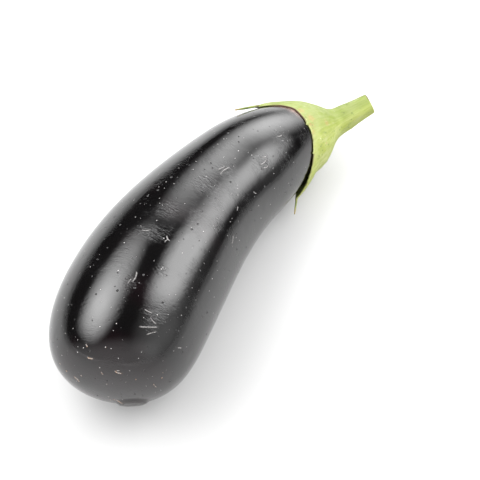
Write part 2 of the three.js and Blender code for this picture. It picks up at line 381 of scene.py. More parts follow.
def cloud(points, size, seed, octaves=1):
    """Smooth random values from about -1 to 1, with lumps of the given size."""
    shift = Vector([seed * step for step in CLOUD_SHIFT])
    total = np.zeros(len(points))
    strength = 1.0
    for _ in range(octaves):
        total += strength * np.array([noise.noise(Vector(p) / size + shift) for p in points])
        size /= 2
        strength /= 2
    return total


# The form of the fruit

class FruitForm:
    """The body of the fruit: a bowed spine, and the radius over it."""

    def __init__(self, sizes):
        self.belly_radius = sizes.belly_radius
        self.spine = ((0, 0, 0), (*BOW_CONTROL_LOW, 0), (*BOW_CONTROL_HIGH, 0), (sizes.length, 0, 0))
        self.shares = np.linspace(0, 1, CURVE_SAMPLES)
        self.spine_stations = lengths_along(bezier(self.spine, self.shares))
        self.spine_length = self.spine_stations[-1]
        self.profile = self.make_profile(sizes.belly_radius, sizes.neck_radius)
        self.profile_arcs = lengths_along(self.profile)
        self.profile_length = self.profile_arcs[-1]
        self.scar_centre = self.point(SCAR_ARC, math.radians(SCAR_ANGLE))

    def make_profile(self, belly_radius, neck_radius):
        belly = BELLY_STATION * self.spine_length
        neck = NECK_STATION * self.spine_length
        handle = TAPER_HANDLE * (neck - belly)
        shoulder = SHOULDER_FULLNESS * (self.spine_length - neck)
        stretches = (
            (
                (0, 0),
                (0, belly_radius * BLOSSOM_END_FULLNESS),
                (belly * (1 - BELLY_FULLNESS), belly_radius),
                (belly, belly_radius),
            ),
            (
                (belly, belly_radius),
                (belly + handle, belly_radius),
                (neck - handle, neck_radius + NECK_TAPER * handle),
                (neck, neck_radius),
            ),
            (
                (neck, neck_radius),
                (neck + shoulder, neck_radius - NECK_TAPER * shoulder),
                (self.spine_length, neck_radius * STEM_END_FULLNESS),
                (self.spine_length, 0),
            ),
        )
        curves = [bezier(stretch, self.shares) for stretch in stretches]
        return np.vstack([curves[0], curves[1][1:], curves[2][1:]])

    def spine_at(self, station):
        """Centre and direction of the spine at a station."""
        share = np.interp(station, self.spine_stations, self.shares)
        return bezier(self.spine, share), bezier_direction(self.spine, share)

    def profile_at(self, arc):
        """Station and radius at an arc from the blossom pole."""
        station = np.interp(arc, self.profile_arcs, self.profile[:, 0])
        radius = np.interp(arc, self.profile_arcs, self.profile[:, 1])
        return station, radius

    def point(self, arc, angle, lift=0.0):
        """Points at an arc from the blossom pole, an angle in radians and a height over the body."""
        arc, angle, lift = np.broadcast_arrays(*(np.asarray(v, float) for v in (arc, angle, lift)))
        station, radius = self.profile_at(arc)
        station_before, radius_before = self.profile_at(arc - SLOPE_STEP)
        station_after, radius_after = self.profile_at(arc + SLOPE_STEP)
        slope = np.stack([station_after - station_before, radius_after - radius_before], -1)
        slope[arc < SLOPE_STEP] = (0, 1)
        slope[arc > self.profile_length - SLOPE_STEP] = (0, -1)
        slope = unit(slope)
        centre, tangent = self.spine_at(station)
        side = sideways_of(tangent)
        radial = np.cos(angle)[..., None] * side + np.sin(angle)[..., None] * np.array((0, 0, 1))
        out = radial * slope[..., :1] - tangent * slope[..., 1:]
        return centre + radial * radius[..., None] + out * lift[..., None]

    def relief(self, arc, angle):
        """Height of the ridges and the scar's pad over the smooth body."""
        radius = self.profile_at(arc)[1]
        fade = (radius / self.belly_radius) ** 2
        height = sum(h * np.cos(count * angle + math.radians(turn)) for count, h, turn in RIDGES)
        return fade * height + SCAR_HEIGHT * self.scar_share(arc, angle)

    def scar_share(self, arc, angle):
        """1 on the scar's pad, 0 beyond its edge."""
        to_scar = np.linalg.norm(self.point(arc, angle) - self.scar_centre, axis=-1)
        return smooth_step(0.5 - (to_scar - SCAR_RADIUS) / SCAR_EDGE)

    def skin(self, arc, angle, lift=0.0):
        """Points at a height over the skin, with its ridges and scar."""
        return self.point(arc, angle, self.relief(arc, angle) + lift)

    def place_of(self, points):
        """Arc and angle of points near the skin."""
        station = np.clip(points[:, 0], 0, self.spine_length)
        for _ in range(SPINE_STEPS):
            centre, tangent = self.spine_at(station)
            station = station + np.sum((points - centre) * tangent, axis=1)
        inside = np.clip(station, 0, self.spine_length)
        centre, tangent = self.spine_at(inside)
        away = points - centre
        side = sideways_of(tangent)
        angle = np.arctan2(away[:, 2], np.sum(away * side, axis=1))
        radius = np.hypot(away[:, 2], np.sum(away * side, axis=1))
        arc = np.empty(len(points))
        rows = self.profile[::PROFILE_STRIDE]
        row_arcs = self.profile_arcs[::PROFILE_STRIDE]
        for part in np.array_split(np.arange(len(points)), PLACE_BATCHES):
            here = np.stack([station[part], radius[part]], axis=1)
            gaps = np.sum((here[:, None, :] - rows[None]) ** 2, axis=2)
            arc[part] = row_arcs[np.argmin(gaps, axis=1)]
        return arc, angle


def lie_matrix(form):
    """How the fruit lies: turned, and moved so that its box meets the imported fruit's box."""
    turn = Matrix.Rotation(PITCH, 4, "Y") @ Matrix.Rotation(ROLL, 4, "X")
    arcs = np.linspace(0, form.profile_length, BOX_RINGS)[:, None]
    angles = np.linspace(0, 2 * math.pi, BOX_SIDES, endpoint=False)[None]
    skin = form.skin(arcs, angles).reshape(-1, 3) @ np.array(turn.to_3x3()).T
    low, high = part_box("fruit")
    shift = Vector((
        low.x - skin[:, 0].min(),
        (low.y + high.y - skin[:, 1].min() - skin[:, 1].max()) / 2,
        high.z - skin[:, 2].max(),
    ))
    return Matrix.Translation(shift) @ turn


# The form of the calyx and its stalk

def turn_from(place, angle):
    """The turn in degrees, between -180 and 180, from a place round the neck to an angle."""
    return (angle - place + 180) % 360 - 180


def across_lobe(angle, lobe):
    """How far across a lobe an angle lies: 0 in its middle, 1 at its foot and beyond."""
    turn = turn_from(lobe.at, angle)
    return np.clip(np.abs(turn) / np.where(turn < 0, lobe.before, lobe.after), 0, 1)


class CalyxForm:
    """The calyx over the shoulder of the fruit, and the stalk that it flares from."""

    def __init__(self, fruit, sizes):
        self.fruit = fruit
        self.rim = sizes.rim_distance
        self.thickness_of_skirt = sizes.thickness
        self.pole = fruit.point(fruit.profile_length, 0.0)
        self.neck_direction = fruit.spine_at(fruit.spine_length)[1]
        self.direction = unit(np.array(STALK_DIRECTION))
        self.cut_centre = self.pole + self.direction * sizes.stalk_reach
        self.path = (
            self.pole,
            self.pole + self.neck_direction * STALK_ROOT_HANDLE,
            self.cut_centre - self.direction * STALK_END_HANDLE,
            self.cut_centre,
        )

    def hollow_side(self, angle):
        """1 on the hollow side of the bow, where the crown is fuller, 0 on the outer half."""
        return np.clip(-np.cos(np.radians(angle)), 0, 1) ** 2

    def flare_distance(self, angle):
        return FLARE_DISTANCE + FLARE_EXTRA * self.hollow_side(angle)

    def rim_distance(self, angle):
        """How far the calyx reaches at an angle, with its lobes."""
        reaches = [
            (lobe.tip - self.rim) * (1 - across_lobe(angle, lobe)) ** lobe.point
            for lobe in LOBES
        ]
        return self.rim + np.max(reaches, axis=0)

    def ragged_rim(self, angle):
        """The rim with its small waves and teeth."""
        round_neck = np.radians(angle)
        circle = np.stack([np.cos(round_neck), np.sin(round_neck), 0 * round_neck], -1)
        waves = cloud(circle * RIM_WAVE_RADIUS, RIM_WAVE_SIZE, seed=3, octaves=2)
        reach = self.rim_distance(angle) + RIM_WAVE_HEIGHT * waves
        for tooth in RIM_TEETH:
            turn = turn_from(tooth, angle)
            reach = reach + TOOTH_LENGTH * np.exp(-((turn / TOOTH_WIDTH) ** 2))
        return reach

    def inner_lift(self, angle, distance):
        """Gap between the skin and the calyx, which closes at the rim and opens at the lobe tips."""
        to_rim = smooth_step((distance - self.rim + RIM_CLOSING_WIDTH) / RIM_CLOSING_WIDTH)
        lift = mix(FIT_GAP, RIM_GAP, to_rim)
        for lobe in LOBES:
            along = np.maximum(0, (distance - self.rim) / (lobe.tip - self.rim))
            across = (1 - across_lobe(angle, lobe)) ** TIP_LIFT_ACROSS_POWER
            lift = lift + lobe.lift * across * along**TIP_LIFT_ALONG_POWER
        return lift

    def thickness(self, angle, distance, rim):
        to_crown = np.clip((self.rim - distance) / (self.rim - FLARE_DISTANCE), 0, 1)
        thickness = self.thickness_of_skirt + CROWN_THICKNESS * to_crown**CROWN_FALL_POWER
        crown = np.sin(to_crown * math.pi * CROWN_SPAN)
        thickness = thickness + CROWN_SIDE_FULLNESS * self.hollow_side(angle) * crown
        for lobe in LOBES:
            middle = np.clip(1 - RIB_NARROWNESS * across_lobe(angle, lobe), 0, 1) ** 2
            along = np.clip((distance - FLARE_DISTANCE) / RIB_ROOT_FADE, 0, 1)
            along = along * np.clip((lobe.tip - distance) / RIB_TIP_FADE, 0, 1)
            thickness = thickness + RIB_HEIGHT * middle * along
        to_edge = np.clip(1 - (rim - distance) / RIM_THINNING_WIDTH, 0, 1)
        return thickness - RIM_THINNING * to_edge**2

    def surface(self, angle, distance, height):
        """Points over the skin, at a height over the calyx's inside."""
        arc = self.fruit.profile_length - distance
        return self.fruit.skin(arc, np.radians(angle), self.inner_lift(angle, distance) + height)

    def stalk_ring(self, share, radius, slide, angles):
        """A ring round the stalk, lined up with the angles round the neck."""
        tangent = bezier_direction(self.path, share)
        neck_side = sideways_of(self.neck_direction)
        side = unit(neck_side - tangent * np.dot(neck_side, tangent))
        rise = np.cross(tangent, side)
        centre = bezier(self.path, share) + tangent * slide
        turn = np.radians(angles)[:, None]
        return centre + (side * np.cos(turn) + rise * np.sin(turn)) * np.reshape(radius, (-1, 1))


# Modelling by hand: each step is one of Blender's own edit tools
WELD_DISTANCE = 1e-7


def deselect_everything():
    if bpy.context.object and bpy.context.object.mode == "EDIT":
        bpy.ops.object.mode_set(mode="OBJECT")
    bpy.ops.object.select_all(action="DESELECT")
    bpy.context.view_layer.objects.active = None


def make_active(piece):
    deselect_everything()
    piece.select_set(True)
    bpy.context.view_layer.objects.active = piece


def turn_selected(angle, centre):
    """Turns what is selected about the vertical. With no window the tool turns the other way."""
    bpy.ops.transform.rotate(value=-angle, orient_axis="Z", center_override=centre)


def apply_modifier(piece, kind, **settings):
    make_active(piece)
    modifier = piece.modifiers.new(kind.title(), kind)
    for name, value in settings.items():
        setattr(modifier, name, value)
    bpy.ops.object.modifier_apply(modifier=modifier.name)


def points_of(piece):
    points = np.empty(len(piece.data.vertices) * 3)
    piece.data.vertices.foreach_get("co", points)
    return points.reshape(-1, 3)


def set_points(piece, points):
    piece.data.vertices.foreach_set("co", np.ascontiguousarray(points, np.float32).ravel())
    piece.data.update()


def add_attribute(piece, name, values):
    """Stores one number, or one vector, at each vertex."""
    values = np.ascontiguousarray(values, np.float32)
    kind, field = ("FLOAT", "value") if values.ndim == 1 else ("FLOAT_VECTOR", "vector")
    attribute = piece.data.attributes.new(name, kind, "POINT")
    attribute.data.foreach_set(field, values.ravel())


def lay_down(piece, matrix):
    """Lays a piece as the fruit lies, with its place in its mesh."""
    piece.matrix_world = matrix
    make_active(piece)
    bpy.ops.object.transform_apply(location=True, rotation=True, scale=True)


def shade_smooth(piece):
    make_active(piece)
    bpy.ops.object.shade_smooth()


def face_outwards(piece):
    make_active(piece)
    bpy.ops.object.mode_set(mode="EDIT")
    bpy.ops.mesh.select_all(action="SELECT")
    bpy.ops.mesh.remove_doubles(threshold=WELD_DISTANCE)
    bpy.ops.mesh.normals_make_consistent(inside=False)
    bpy.ops.object.mode_set(mode="OBJECT")


def draw_out_rings(name, rings, first_pole, last_pole):
    """Draws a circle out ring by ring, sets each ring on its points, and closes both ends."""
    sides = len(rings[0])
    deselect_everything()
    bpy.ops.mesh.primitive_circle_add(vertices=sides, radius=float(STALK_RADII[0]))
    piece = bpy.context.object
    piece.name = name
    piece.data.name = name
    bpy.ops.object.mode_set(mode="EDIT")
    bpy.ops.mesh.select_mode(type="VERT")
    bpy.ops.mesh.select_all(action="SELECT")
    model = bmesh.from_edit_mesh(piece.data)
    model.verts.ensure_lookup_table()
    row = list(range(sides))
    for index, point in zip(row, rings[0]):
        model.verts[index].co = point
    for ring in rings[1:]:
        count = len(model.verts)
        bpy.ops.mesh.extrude_region_move()
        model = bmesh.from_edit_mesh(piece.data)
        model.verts.ensure_lookup_table()
        model.verts.index_update()
        row = [drawn_from(model.verts[index], count).index for index in row]
        for index, point in zip(row, ring):
            model.verts[index].co = point
    close_in_point(piece, last_pole)
    bpy.ops.mesh.select_all(action="DESELECT")
    bpy.ops.mesh.select_non_manifold()
    close_in_point(piece, first_pole)
    bpy.ops.object.mode_set(mode="OBJECT")
    face_outwards(piece)
    return piece


def drawn_from(vertex, first_new):
    """The new vertex that was drawn out of an old one."""
    for edge in vertex.link_edges:
        other = edge.other_vert(vertex)
        if other.index >= first_new:
            return other
    raise RuntimeError("a ring has a vertex that wasn't drawn out")


def close_in_point(piece, pole):
    """Closes the selected ring with a fan of faces that meet in one point."""
    bpy.ops.mesh.extrude_region_move()
    bpy.ops.mesh.merge(type="CENTER")
    model = bmesh.from_edit_mesh(piece.data)
    for vertex in model.verts:
        if vertex.select:
            vertex.co = pole
    bmesh.update_edit_mesh(piece.data)


# The fruit

# Shallow hollows that break the long highlights, as arc, angle, length, width and depth
HOLLOWS = (
    (0.118, 88, 0.018, 0.010, 0.00030),
    (0.160, 84, 0.012, 0.006, 0.00020),
    (0.070, 66, 0.020, 0.008, 0.00025),
)

# Patches where the skin is scuffed, as arc, angle and radius
SCUFFED_PATCHES = (
    (0.0895, 75, 0.0060),
    (0.1145, 113, 0.0050),
    (0.1435, 87, 0.0065),
    (0.1300, 80, 0.0080),
    (0.1660, 107, 0.0055),
    (0.1840, 98, 0.0050),
    (0.1050, 72, 0.0070),
    (0.0730, 94, 0.0050),
    (0.0480, 103, 0.0060),
    (0.0620, 78, 0.0045),
    (0.1180, 130, 0.0050),
)

# Pale skin that shows beside the calyx, partly its own pale ring and partly a painted reflection of the
# calyx
PALE_AND_REFLECTION_PLACE = (0.2035, math.radians(58))
PALE_AND_REFLECTION_RADIUS = 0.010

SMALL_DENTS = 70
DENT_SEED = 11
DENT_ARC = (0.01, 0.2)
DENT_RADIUS = (0.0010, 0.0032)
DENT_DEPTH = (0.00003, 0.00011)

# What still counts as on an end's flat grid, and as inside its ring
FLAT_TOLERANCE = 1e-6
INNER_SHARE = 0.999

# Long soft lumps of the skin, stretched along the fruit
LUMP_HEIGHT = 0.00010
LUMP_SIZE = 0.012
LUMP_STRETCH = (0.4, 1, 1)

PATCH_REACH = 1.3
TANGENT_STEP = 0.001


def loft_fruit(form):
    """Draws a circle out along the spine, closes both ends with a grid, and subdivides it."""
    even = np.arange(1, FRUIT_RINGS) / FRUIT_RINGS
    eased = (1 - np.cos(even * math.pi)) / 2
    arcs = form.profile_length * mix(even, eased, RING_EASING)
    stations, radii = form.profile_at(arcs)
    centres, tangents = form.spine_at(stations)
    headings = np.arctan2(tangents[:, 1], tangents[:, 0])
    deselect_everything()
    bpy.ops.mesh.primitive_circle_add(
        vertices=FRUIT_SIDES,
        radius=radii[0],
        location=centres[0],
        rotation=(0, math.pi / 2, headings[0]),
    )
    piece = bpy.context.object
    piece.name = "fruit_skin"
    piece.data.name = "fruit_skin"
    bpy.ops.object.transform_apply(location=True, rotation=True, scale=True)
    bpy.ops.object.mode_set(mode="EDIT")
    bpy.ops.mesh.select_mode(type="VERT")
    bpy.ops.mesh.select_all(action="SELECT")
    for k in range(1, len(arcs)):
        step = centres[k] - centres[k - 1]
        bpy.ops.mesh.extrude_region_move(TRANSFORM_OT_translate={"value": tuple(step)})
        turn_selected(headings[k] - headings[k - 1], tuple(centres[k]))
        growth = radii[k] / radii[k - 1]
        bpy.ops.transform.resize(value=(growth,) * 3, center_override=tuple(centres[k]))
    bpy.ops.mesh.fill_grid(span=FRUIT_SIDES // 4)
    bpy.ops.mesh.select_all(action="DESELECT")
    bpy.ops.mesh.select_non_manifold()
    bpy.ops.mesh.fill_grid(span=FRUIT_SIDES // 4)
    bpy.ops.object.mode_set(mode="OBJECT")
    round_the_ends(piece, form, centres, tangents, radii)
    face_outwards(piece)
    apply_modifier(
        piece, "SUBSURF", levels=FRUIT_SUBDIVISION, render_levels=FRUIT_SUBDIVISION
    )
    return piece


def round_the_ends(piece, form, centres, tangents, radii):
    """Bulges the flat grids at both ends on to the body."""
    points = points_of(piece)
    for end in (0, -1):
        away = points - centres[end]
        side = sideways_of(tangents[end])
        flat = np.abs(away @ tangents[end]) < FLAT_TOLERANCE
        sideways = away @ side
        radius = np.hypot(sideways, away[:, 2])
        inner = flat & (radius < radii[end] * INNER_SHARE)
        angle = np.arctan2(away[inner, 2], sideways[inner])
        half = len(form.profile) // 2
        rising = slice(0, half) if end == 0 else slice(half, None)
        order = np.argsort(form.profile[rising, 1])
        arc = np.interp(
            radius[inner], form.profile[rising, 1][order], form.profile_arcs[rising][order]
        )
        if end == 0:
            arc = np.minimum(arc, form.profile_length / 4)
        points[inner] = form.point(arc, angle)
    set_points(piece, points)


def shape_skin(piece, form):
    """Presses the skin's relief into the lofted body, and stores where it is scuffed, and where it is
    pale, partly with a painted reflection of the calyx.
    """
    points = points_of(piece)
    arc, angle = form.place_of(points)
    height = form.relief(arc, angle)
    for at, turn, long, wide, depth in HOLLOWS:
        centre = form.point(at, math.radians(turn))
        tangent = unit(form.point(at + TANGENT_STEP, math.radians(turn)) - centre)
        away = points - centre
        along = away @ tangent
        across = np.linalg.norm(away - along[:, None] * tangent, axis=1)
        height -= depth * np.exp(-((along / long) ** 2) - (across / wide) ** 2)
    chance = random.Random(DENT_SEED)
    for _ in range(SMALL_DENTS):
        centre = form.point(chance.uniform(*DENT_ARC), chance.uniform(0, 2 * math.pi))
        radius = chance.uniform(*DENT_RADIUS)
        depth = chance.uniform(*DENT_DEPTH)
        height -= depth * mound(points, centre, radius)
    height += LUMP_HEIGHT * cloud(points * LUMP_STRETCH, LUMP_SIZE, seed=5)
    normals = np.empty(len(points) * 3)
    piece.data.vertices.foreach_get("normal", normals)
    set_points(piece, points + normals.reshape(-1, 3) * height[:, None])
    scuffed = [
        patch(points, form.point(at, math.radians(turn)), radius) for at, turn, radius in SCUFFED_PATCHES
    ]
    add_attribute(piece, "scuffed", np.max(scuffed, axis=0))
    add_attribute(piece, "scar", form.scar_share(arc, angle))
    # Where the skin beside the calyx is pale, partly as a painted reflection of the calyx.
    add_attribute(piece, "pale_and_reflection", patch(points, form.point(*PALE_AND_REFLECTION_PLACE), PALE_AND_REFLECTION_RADIUS))
    radius = form.profile_at(arc)[1]
    grain = np.stack([arc, radius * np.cos(angle), radius * np.sin(angle)], axis=-1)
    add_attribute(piece, "grain", grain)
    return arc, angle


def flatten_underside(piece):
    """Sets the fruit on the table with a small flat spot."""
    points = points_of(piece)
    z = points[:, 2]
    points[:, 2] = FLAT_SPOT_SOFTNESS * np.logaddexp(0, z / FLAT_SPOT_SOFTNESS)
    set_points(piece, points)


def model_fruit(sizes):
    form = FruitForm(sizes)
    piece = loft_fruit(form)
    arc, angle = shape_skin(piece, form)
    from_stem = form.profile_length - arc
    calyx = CalyxForm(form, bpy.context.scene.eggplant_calyx)
    past_rim = from_stem - calyx.rim_distance(np.degrees(angle))
    add_attribute(piece, "past_rim", past_rim)
    add_attribute(piece, "from_blossom", arc)
    lay_down(piece, lie_matrix(form))
    flatten_underside(piece)
    shade_smooth(piece)
    return piece


# The calyx and its stalk

# Relief of the skirt: warts, waves and a fine grain, which fade at the flare and at the rim
WARTS = 90
WART_SEED = 4
WART_REACH = 1.05
WART_RADIUS = (0.0005, 0.0014)
WART_HEIGHT = (0.00008, 0.00028)
WAVE_HEIGHT = 0.00016
WAVE_SIZE = 0.007
GRAIN_HEIGHT = 0.00007
GRAIN_SIZE = 0.0022
RELIEF_RIM_FADE = 0.002
RELIEF_FLARE_RISE = 4

# Relief of the stalk: where its ribs start round it, its striations, and how both grow from the cut
STALK_RIB_TURN = 0.6
STRIATION_HEIGHT = 0.00009
STRIATION_SIZE = 0.0011
STRIATION_RADIUS = 0.006
STRIATION_RUN = 0.004
RELIEF_AT_CUT = 0.6
RELIEF_RISE = 5

# How far the mark of the rim reaches up the skirt, and how far a thread grows in all
RIM_MARK_WIDTH = 0.0004
THREAD_GROWTH = 0.02

TABLE_CLEARANCE = 0.00006
CHAMFER_TURNS = (30, 60, 90)


def stalk_relief(angles, share):
    """Soft ribs and fine striations round the stalk."""
    turn = np.radians(angles)
    ribs = STALK_RIB_HEIGHT * np.cos(STALK_RIBS * turn + STALK_RIB_TURN)
    circle = [np.cos(turn) * STRIATION_RADIUS, np.sin(turn) * STRIATION_RADIUS]
    spots = np.stack([*circle, turn * 0 + share * STRIATION_RUN], -1)
    relief = ribs + STRIATION_HEIGHT * cloud(spots, STRIATION_SIZE, seed=7, octaves=2)
    return relief * mix(RELIEF_AT_CUT, 1.0, smooth_step(share * RELIEF_RISE))


def stalk_rings(form, angles):
    """Rings from the middle of the cut to where the stalk starts to flare."""
    end_radius = STALK_RADII[0] + stalk_relief(angles, 0)
    rings = []
    for k in range(1, CUT_RINGS + 1):
        share = k / CUT_RINGS
        dish = -CUT_DISH * (1 - smooth_step((share - CUT_PITH_SHARE) / (1 - CUT_PITH_SHARE)))
        rings.append(form.stalk_ring(1, (end_radius - CUT_CHAMFER) * share, dish, angles))
    for turn in CHAMFER_TURNS:
        out = CUT_CHAMFER * (1 - math.sin(math.radians(turn)))
        back = CUT_CHAMFER * (1 - math.cos(math.radians(turn)))
        rings.append(form.stalk_ring(1, end_radius - out, -back, angles))
    steps = np.linspace(0, 1, len(STALK_RADII))
    for k in range(1, STALK_RINGS + 1):
        share = k / STALK_RINGS
        radius = np.interp(share, steps, STALK_RADII) + stalk_relief(angles, share)
        rings.append(form.stalk_ring(mix(1, STALK_FLARE_START, share), radius, 0, angles))
    return rings


def calyx_relief(form, points, distance, rim, warts):
    """Fine height over the calyx: waves, a fine grain and warts, which fade at the rim."""
    height = WAVE_HEIGHT * cloud(points, WAVE_SIZE, seed=1)
    height += GRAIN_HEIGHT * cloud(points, GRAIN_SIZE, seed=2)
    for centre, radius, rise in warts:
        height += rise * mound(points, centre, radius)
    return height * smooth_step((rim - distance) / RELIEF_RIM_FADE)


def make_warts(form):
    chance = random.Random(WART_SEED)
    warts = []
    for _ in range(WARTS):
        angle = chance.uniform(0, 360)
        distance = chance.uniform(FLARE_DISTANCE, form.rim * WART_REACH)
        rim = form.rim_distance(angle)
        height = form.thickness(angle, distance, rim)
        centre = form.surface(np.array([angle]), np.array([distance]), height)[0]
        warts.append((centre, chance.uniform(*WART_RADIUS), chance.uniform(*WART_HEIGHT)))
    return warts


def flare_rings(form, last_ring, angles, rim):
    """Each line leaves the stalk along it, and runs in a fillet on to the calyx."""
    def landing(distance):
        return form.surface(angles, distance, form.thickness(angles, distance, rim))

    tangent = bezier_direction(form.path, STALK_FLARE_START)
    reach = form.flare_distance(angles)
    end = landing(reach)
    outward = unit(landing(reach + TANGENT_STEP) - end)
    pull = np.linalg.norm(end - last_ring, axis=1, keepdims=True) * FLARE_PULL
    lines = np.stack([last_ring, last_ring - tangent * pull, end - outward * pull, end])
    return [bezier(lines, k / FLARE_RINGS) for k in range(1, FLARE_RINGS + 1)]


def skirt_rings(form, angles, rim, warts):
    """The outside of the skirt down to its rim."""
    rings = []
    for k in range(1, SKIRT_RINGS + 1):
        distance = mix(form.flare_distance(angles), rim, k / SKIRT_RINGS)
        thickness = form.thickness(angles, distance, rim)
        points = form.surface(angles, distance, thickness)
        relief = calyx_relief(form, points, distance, rim, warts)
        fade = smooth_step(k / SKIRT_RINGS * RELIEF_FLARE_RISE)
        rings.append(form.surface(angles, distance, thickness + relief * fade))
    return rings


def edge_rings(form, angles, rim):
    """The round edge of the rim, from the outside to the inside."""
    half = form.thickness(angles, rim, rim) / 2
    rings = []
    for k in range(1, EDGE_RINGS + 1):
        turn = math.pi * k / (EDGE_RINGS + 1)
        distance = rim + half * math.sin(turn)
        rings.append(form.surface(angles, distance, half * (1 + math.cos(turn))))
    return rings


def lining_rings(form, angles, rim):
    """The inside of the calyx, close over the skin."""
    shares = np.linspace(1, LINING_END_SHARE, LINING_RINGS)
    return [form.surface(angles, rim * share, 0.0) for share in shares]


def smooth_path(places, count):
    """A smooth line through a few points."""
    places = np.asarray(places, float)
    padded = np.vstack([2 * places[0] - places[1], places, 2 * places[-1] - places[-2]])
    line = []
    for share in np.linspace(0, len(places) - 1, count):
        k = min(int(share), len(places) - 2)
        t = share - k
        a, b, c, d = padded[k:k + 4]
        line.append(0.5 * (
            2 * b + (c - a) * t + (2 * a - 5 * b + 4 * c - d) * t**2 + (3 * b - a - 3 * c + d) * t**3
        ))
    return np.array(line)


def thread_rings(form, places):
    """Rings of a dried thread: thin, a little flat, and twisted along its length."""
    distance, angle, height = np.array(places).T
    arcs = form.fruit.profile_length - distance
    line = smooth_path(form.fruit.skin(arcs, np.radians(angle), height), THREAD_RINGS)
    tangents = unit(np.gradient(line, axis=0))
    shares = np.linspace(0, 1, THREAD_RINGS)
    radii = np.interp(shares, np.linspace(0, 1, len(THREAD_RADII)), THREAD_RADII)
    turns = np.linspace(0, 2 * math.pi, THREAD_SIDES, endpoint=False)[:, None]
    side = unit(np.cross(tangents[0], (0, 0, 1)))
    rings = []
    for k in range(THREAD_RINGS):
        side = unit(side - tangents[k] * np.dot(side, tangents[k]))
        rise = np.cross(tangents[k], side)
        twist = THREAD_TWIST * shares[k]
        flat_side = side * math.cos(twist) + rise * math.sin(twist)
        flat_rise = rise * math.cos(twist) - side * math.sin(twist)
        offset = flat_side * np.cos(turns) + flat_rise * np.sin(turns) * THREAD_FLATNESS
        rings.append(line[k] + offset * radii[k])
    return rings, line


class Marks:
    """What the calyx's material needs to know at each place, gathered ring by ring."""

    def __init__(self):
        self.points = []
        self.values = {"growth": [], "rim": [], "dry": [], "cut": []}

    def add(self, ring, angles, along, **marks):
        """Notes where a ring lies round the neck and along the growth. Other marks are 0 if not given."""
        turn = np.radians(angles)
        count = len(ring)
        self.points.append(ring)
        growth = [np.cos(turn), np.sin(turn), np.broadcast_to(along, count)]
        self.values["growth"].append(np.stack(growth, axis=-1))
        for name in ("rim", "dry", "cut"):
            self.values[name].append(np.broadcast_to(marks.get(name, 0.0), count))

    def store(self, piece):
        """Gives each vertex of the finished piece the values of the nearest place."""
        points = np.concatenate(self.points)
        tree = kdtree.KDTree(len(points))
        for index, point in enumerate(points):
            tree.insert(point, index)
        tree.balance()
        nearest = [tree.find(point)[1] for point in points_of(piece)]
        for name, rows in self.values.items():
            add_attribute(piece, name, np.concatenate(rows)[nearest])


def mark_outside(marks, form, outside, angles, rim):
    """Marks the cut, its chamfer and the rim, and returns how far each line of the rings has grown."""
    skirt_start = len(outside) - EDGE_RINGS - SKIRT_RINGS
    travelled = 0.0
    for k, ring in enumerate(outside):
        if k:
            travelled = travelled + np.linalg.norm(ring - outside[k - 1], axis=1)
        in_chamfer = CUT_RINGS <= k < CUT_RINGS + len(CHAMFER_TURNS)
        share = np.clip((k - skirt_start + 1) / SKIRT_RINGS, 0, 1)
        left = (rim - form.flare_distance(angles)) * (1 - share)
        marks.add(
            ring, angles, travelled,
            rim=np.exp(-left / RIM_MARK_WIDTH) if k >= skirt_start else float(in_chamfer),
            cut=float(k < CUT_RINGS),
        )
    return travelled


def model_calyx(sizes):
    fruit = FruitForm(bpy.context.scene.eggplant_fruit)
    form = CalyxForm(fruit, sizes)
    angles = np.arange(CALYX_SIDES) / CALYX_SIDES * 360
    rim = form.ragged_rim(angles)
    marks = Marks()
    stalk = stalk_rings(form, angles)
    flare = flare_rings(form, stalk[-1], angles, rim)
    skirt = skirt_rings(form, angles, rim, make_warts(form))
    edge = edge_rings(form, angles, rim)
    lining = lining_rings(form, angles, rim)
    outside = stalk + flare + skirt + edge
    travelled = mark_outside(marks, form, outside, angles, rim)
    for ring in lining:
        marks.add(ring, angles, travelled)
    cut_middle = form.cut_centre - form.direction * CUT_DISH
    marks.add(np.array([cut_middle]), np.zeros(1), 0.0, cut=1.0)
    end = fruit.point(fruit.profile_length, 0.0, FIT_GAP)
    piece = draw_out_rings("calyx_and_stalk", outside + lining, cut_middle, end)
    for places in THREADS:
        add_thread(piece, form, places, marks)
    marks.store(piece)
    lay_down(piece, lie_matrix(fruit))
    keep_on_table(piece)
    shade_smooth(piece)
    return piece


def add_thread(piece, form, places, marks):
    """Grows one thread into its lobe's tip."""
    rings, line = thread_rings(form, places)
    for k, ring in enumerate(rings):
        share = k / (len(rings) - 1)
        marks.add(ring, np.full(len(ring), places[0][1]), share * THREAD_GROWTH, dry=share)
    thread = draw_out_rings("thread", rings, line[0], line[-1])
    apply_modifier(piece, "BOOLEAN", operation="UNION", solver="MANIFOLD", object=thread)
    bpy.data.objects.remove(thread)


def keep_on_table(piece):
    """Nothing reaches below the table's top."""
    points = points_of(piece)
    points[:, 2] = np.maximum(points[:, 2], TABLE_CLEARANCE)
    set_points(piece, points)


# Shader nodes

class Clouds(NamedTuple):
    """A cloudy pattern: its lumps for each metre, where it starts and ends to fade in, and its detail."""

    scale: float
    low: float
    high: float
    detail: float = 2.0


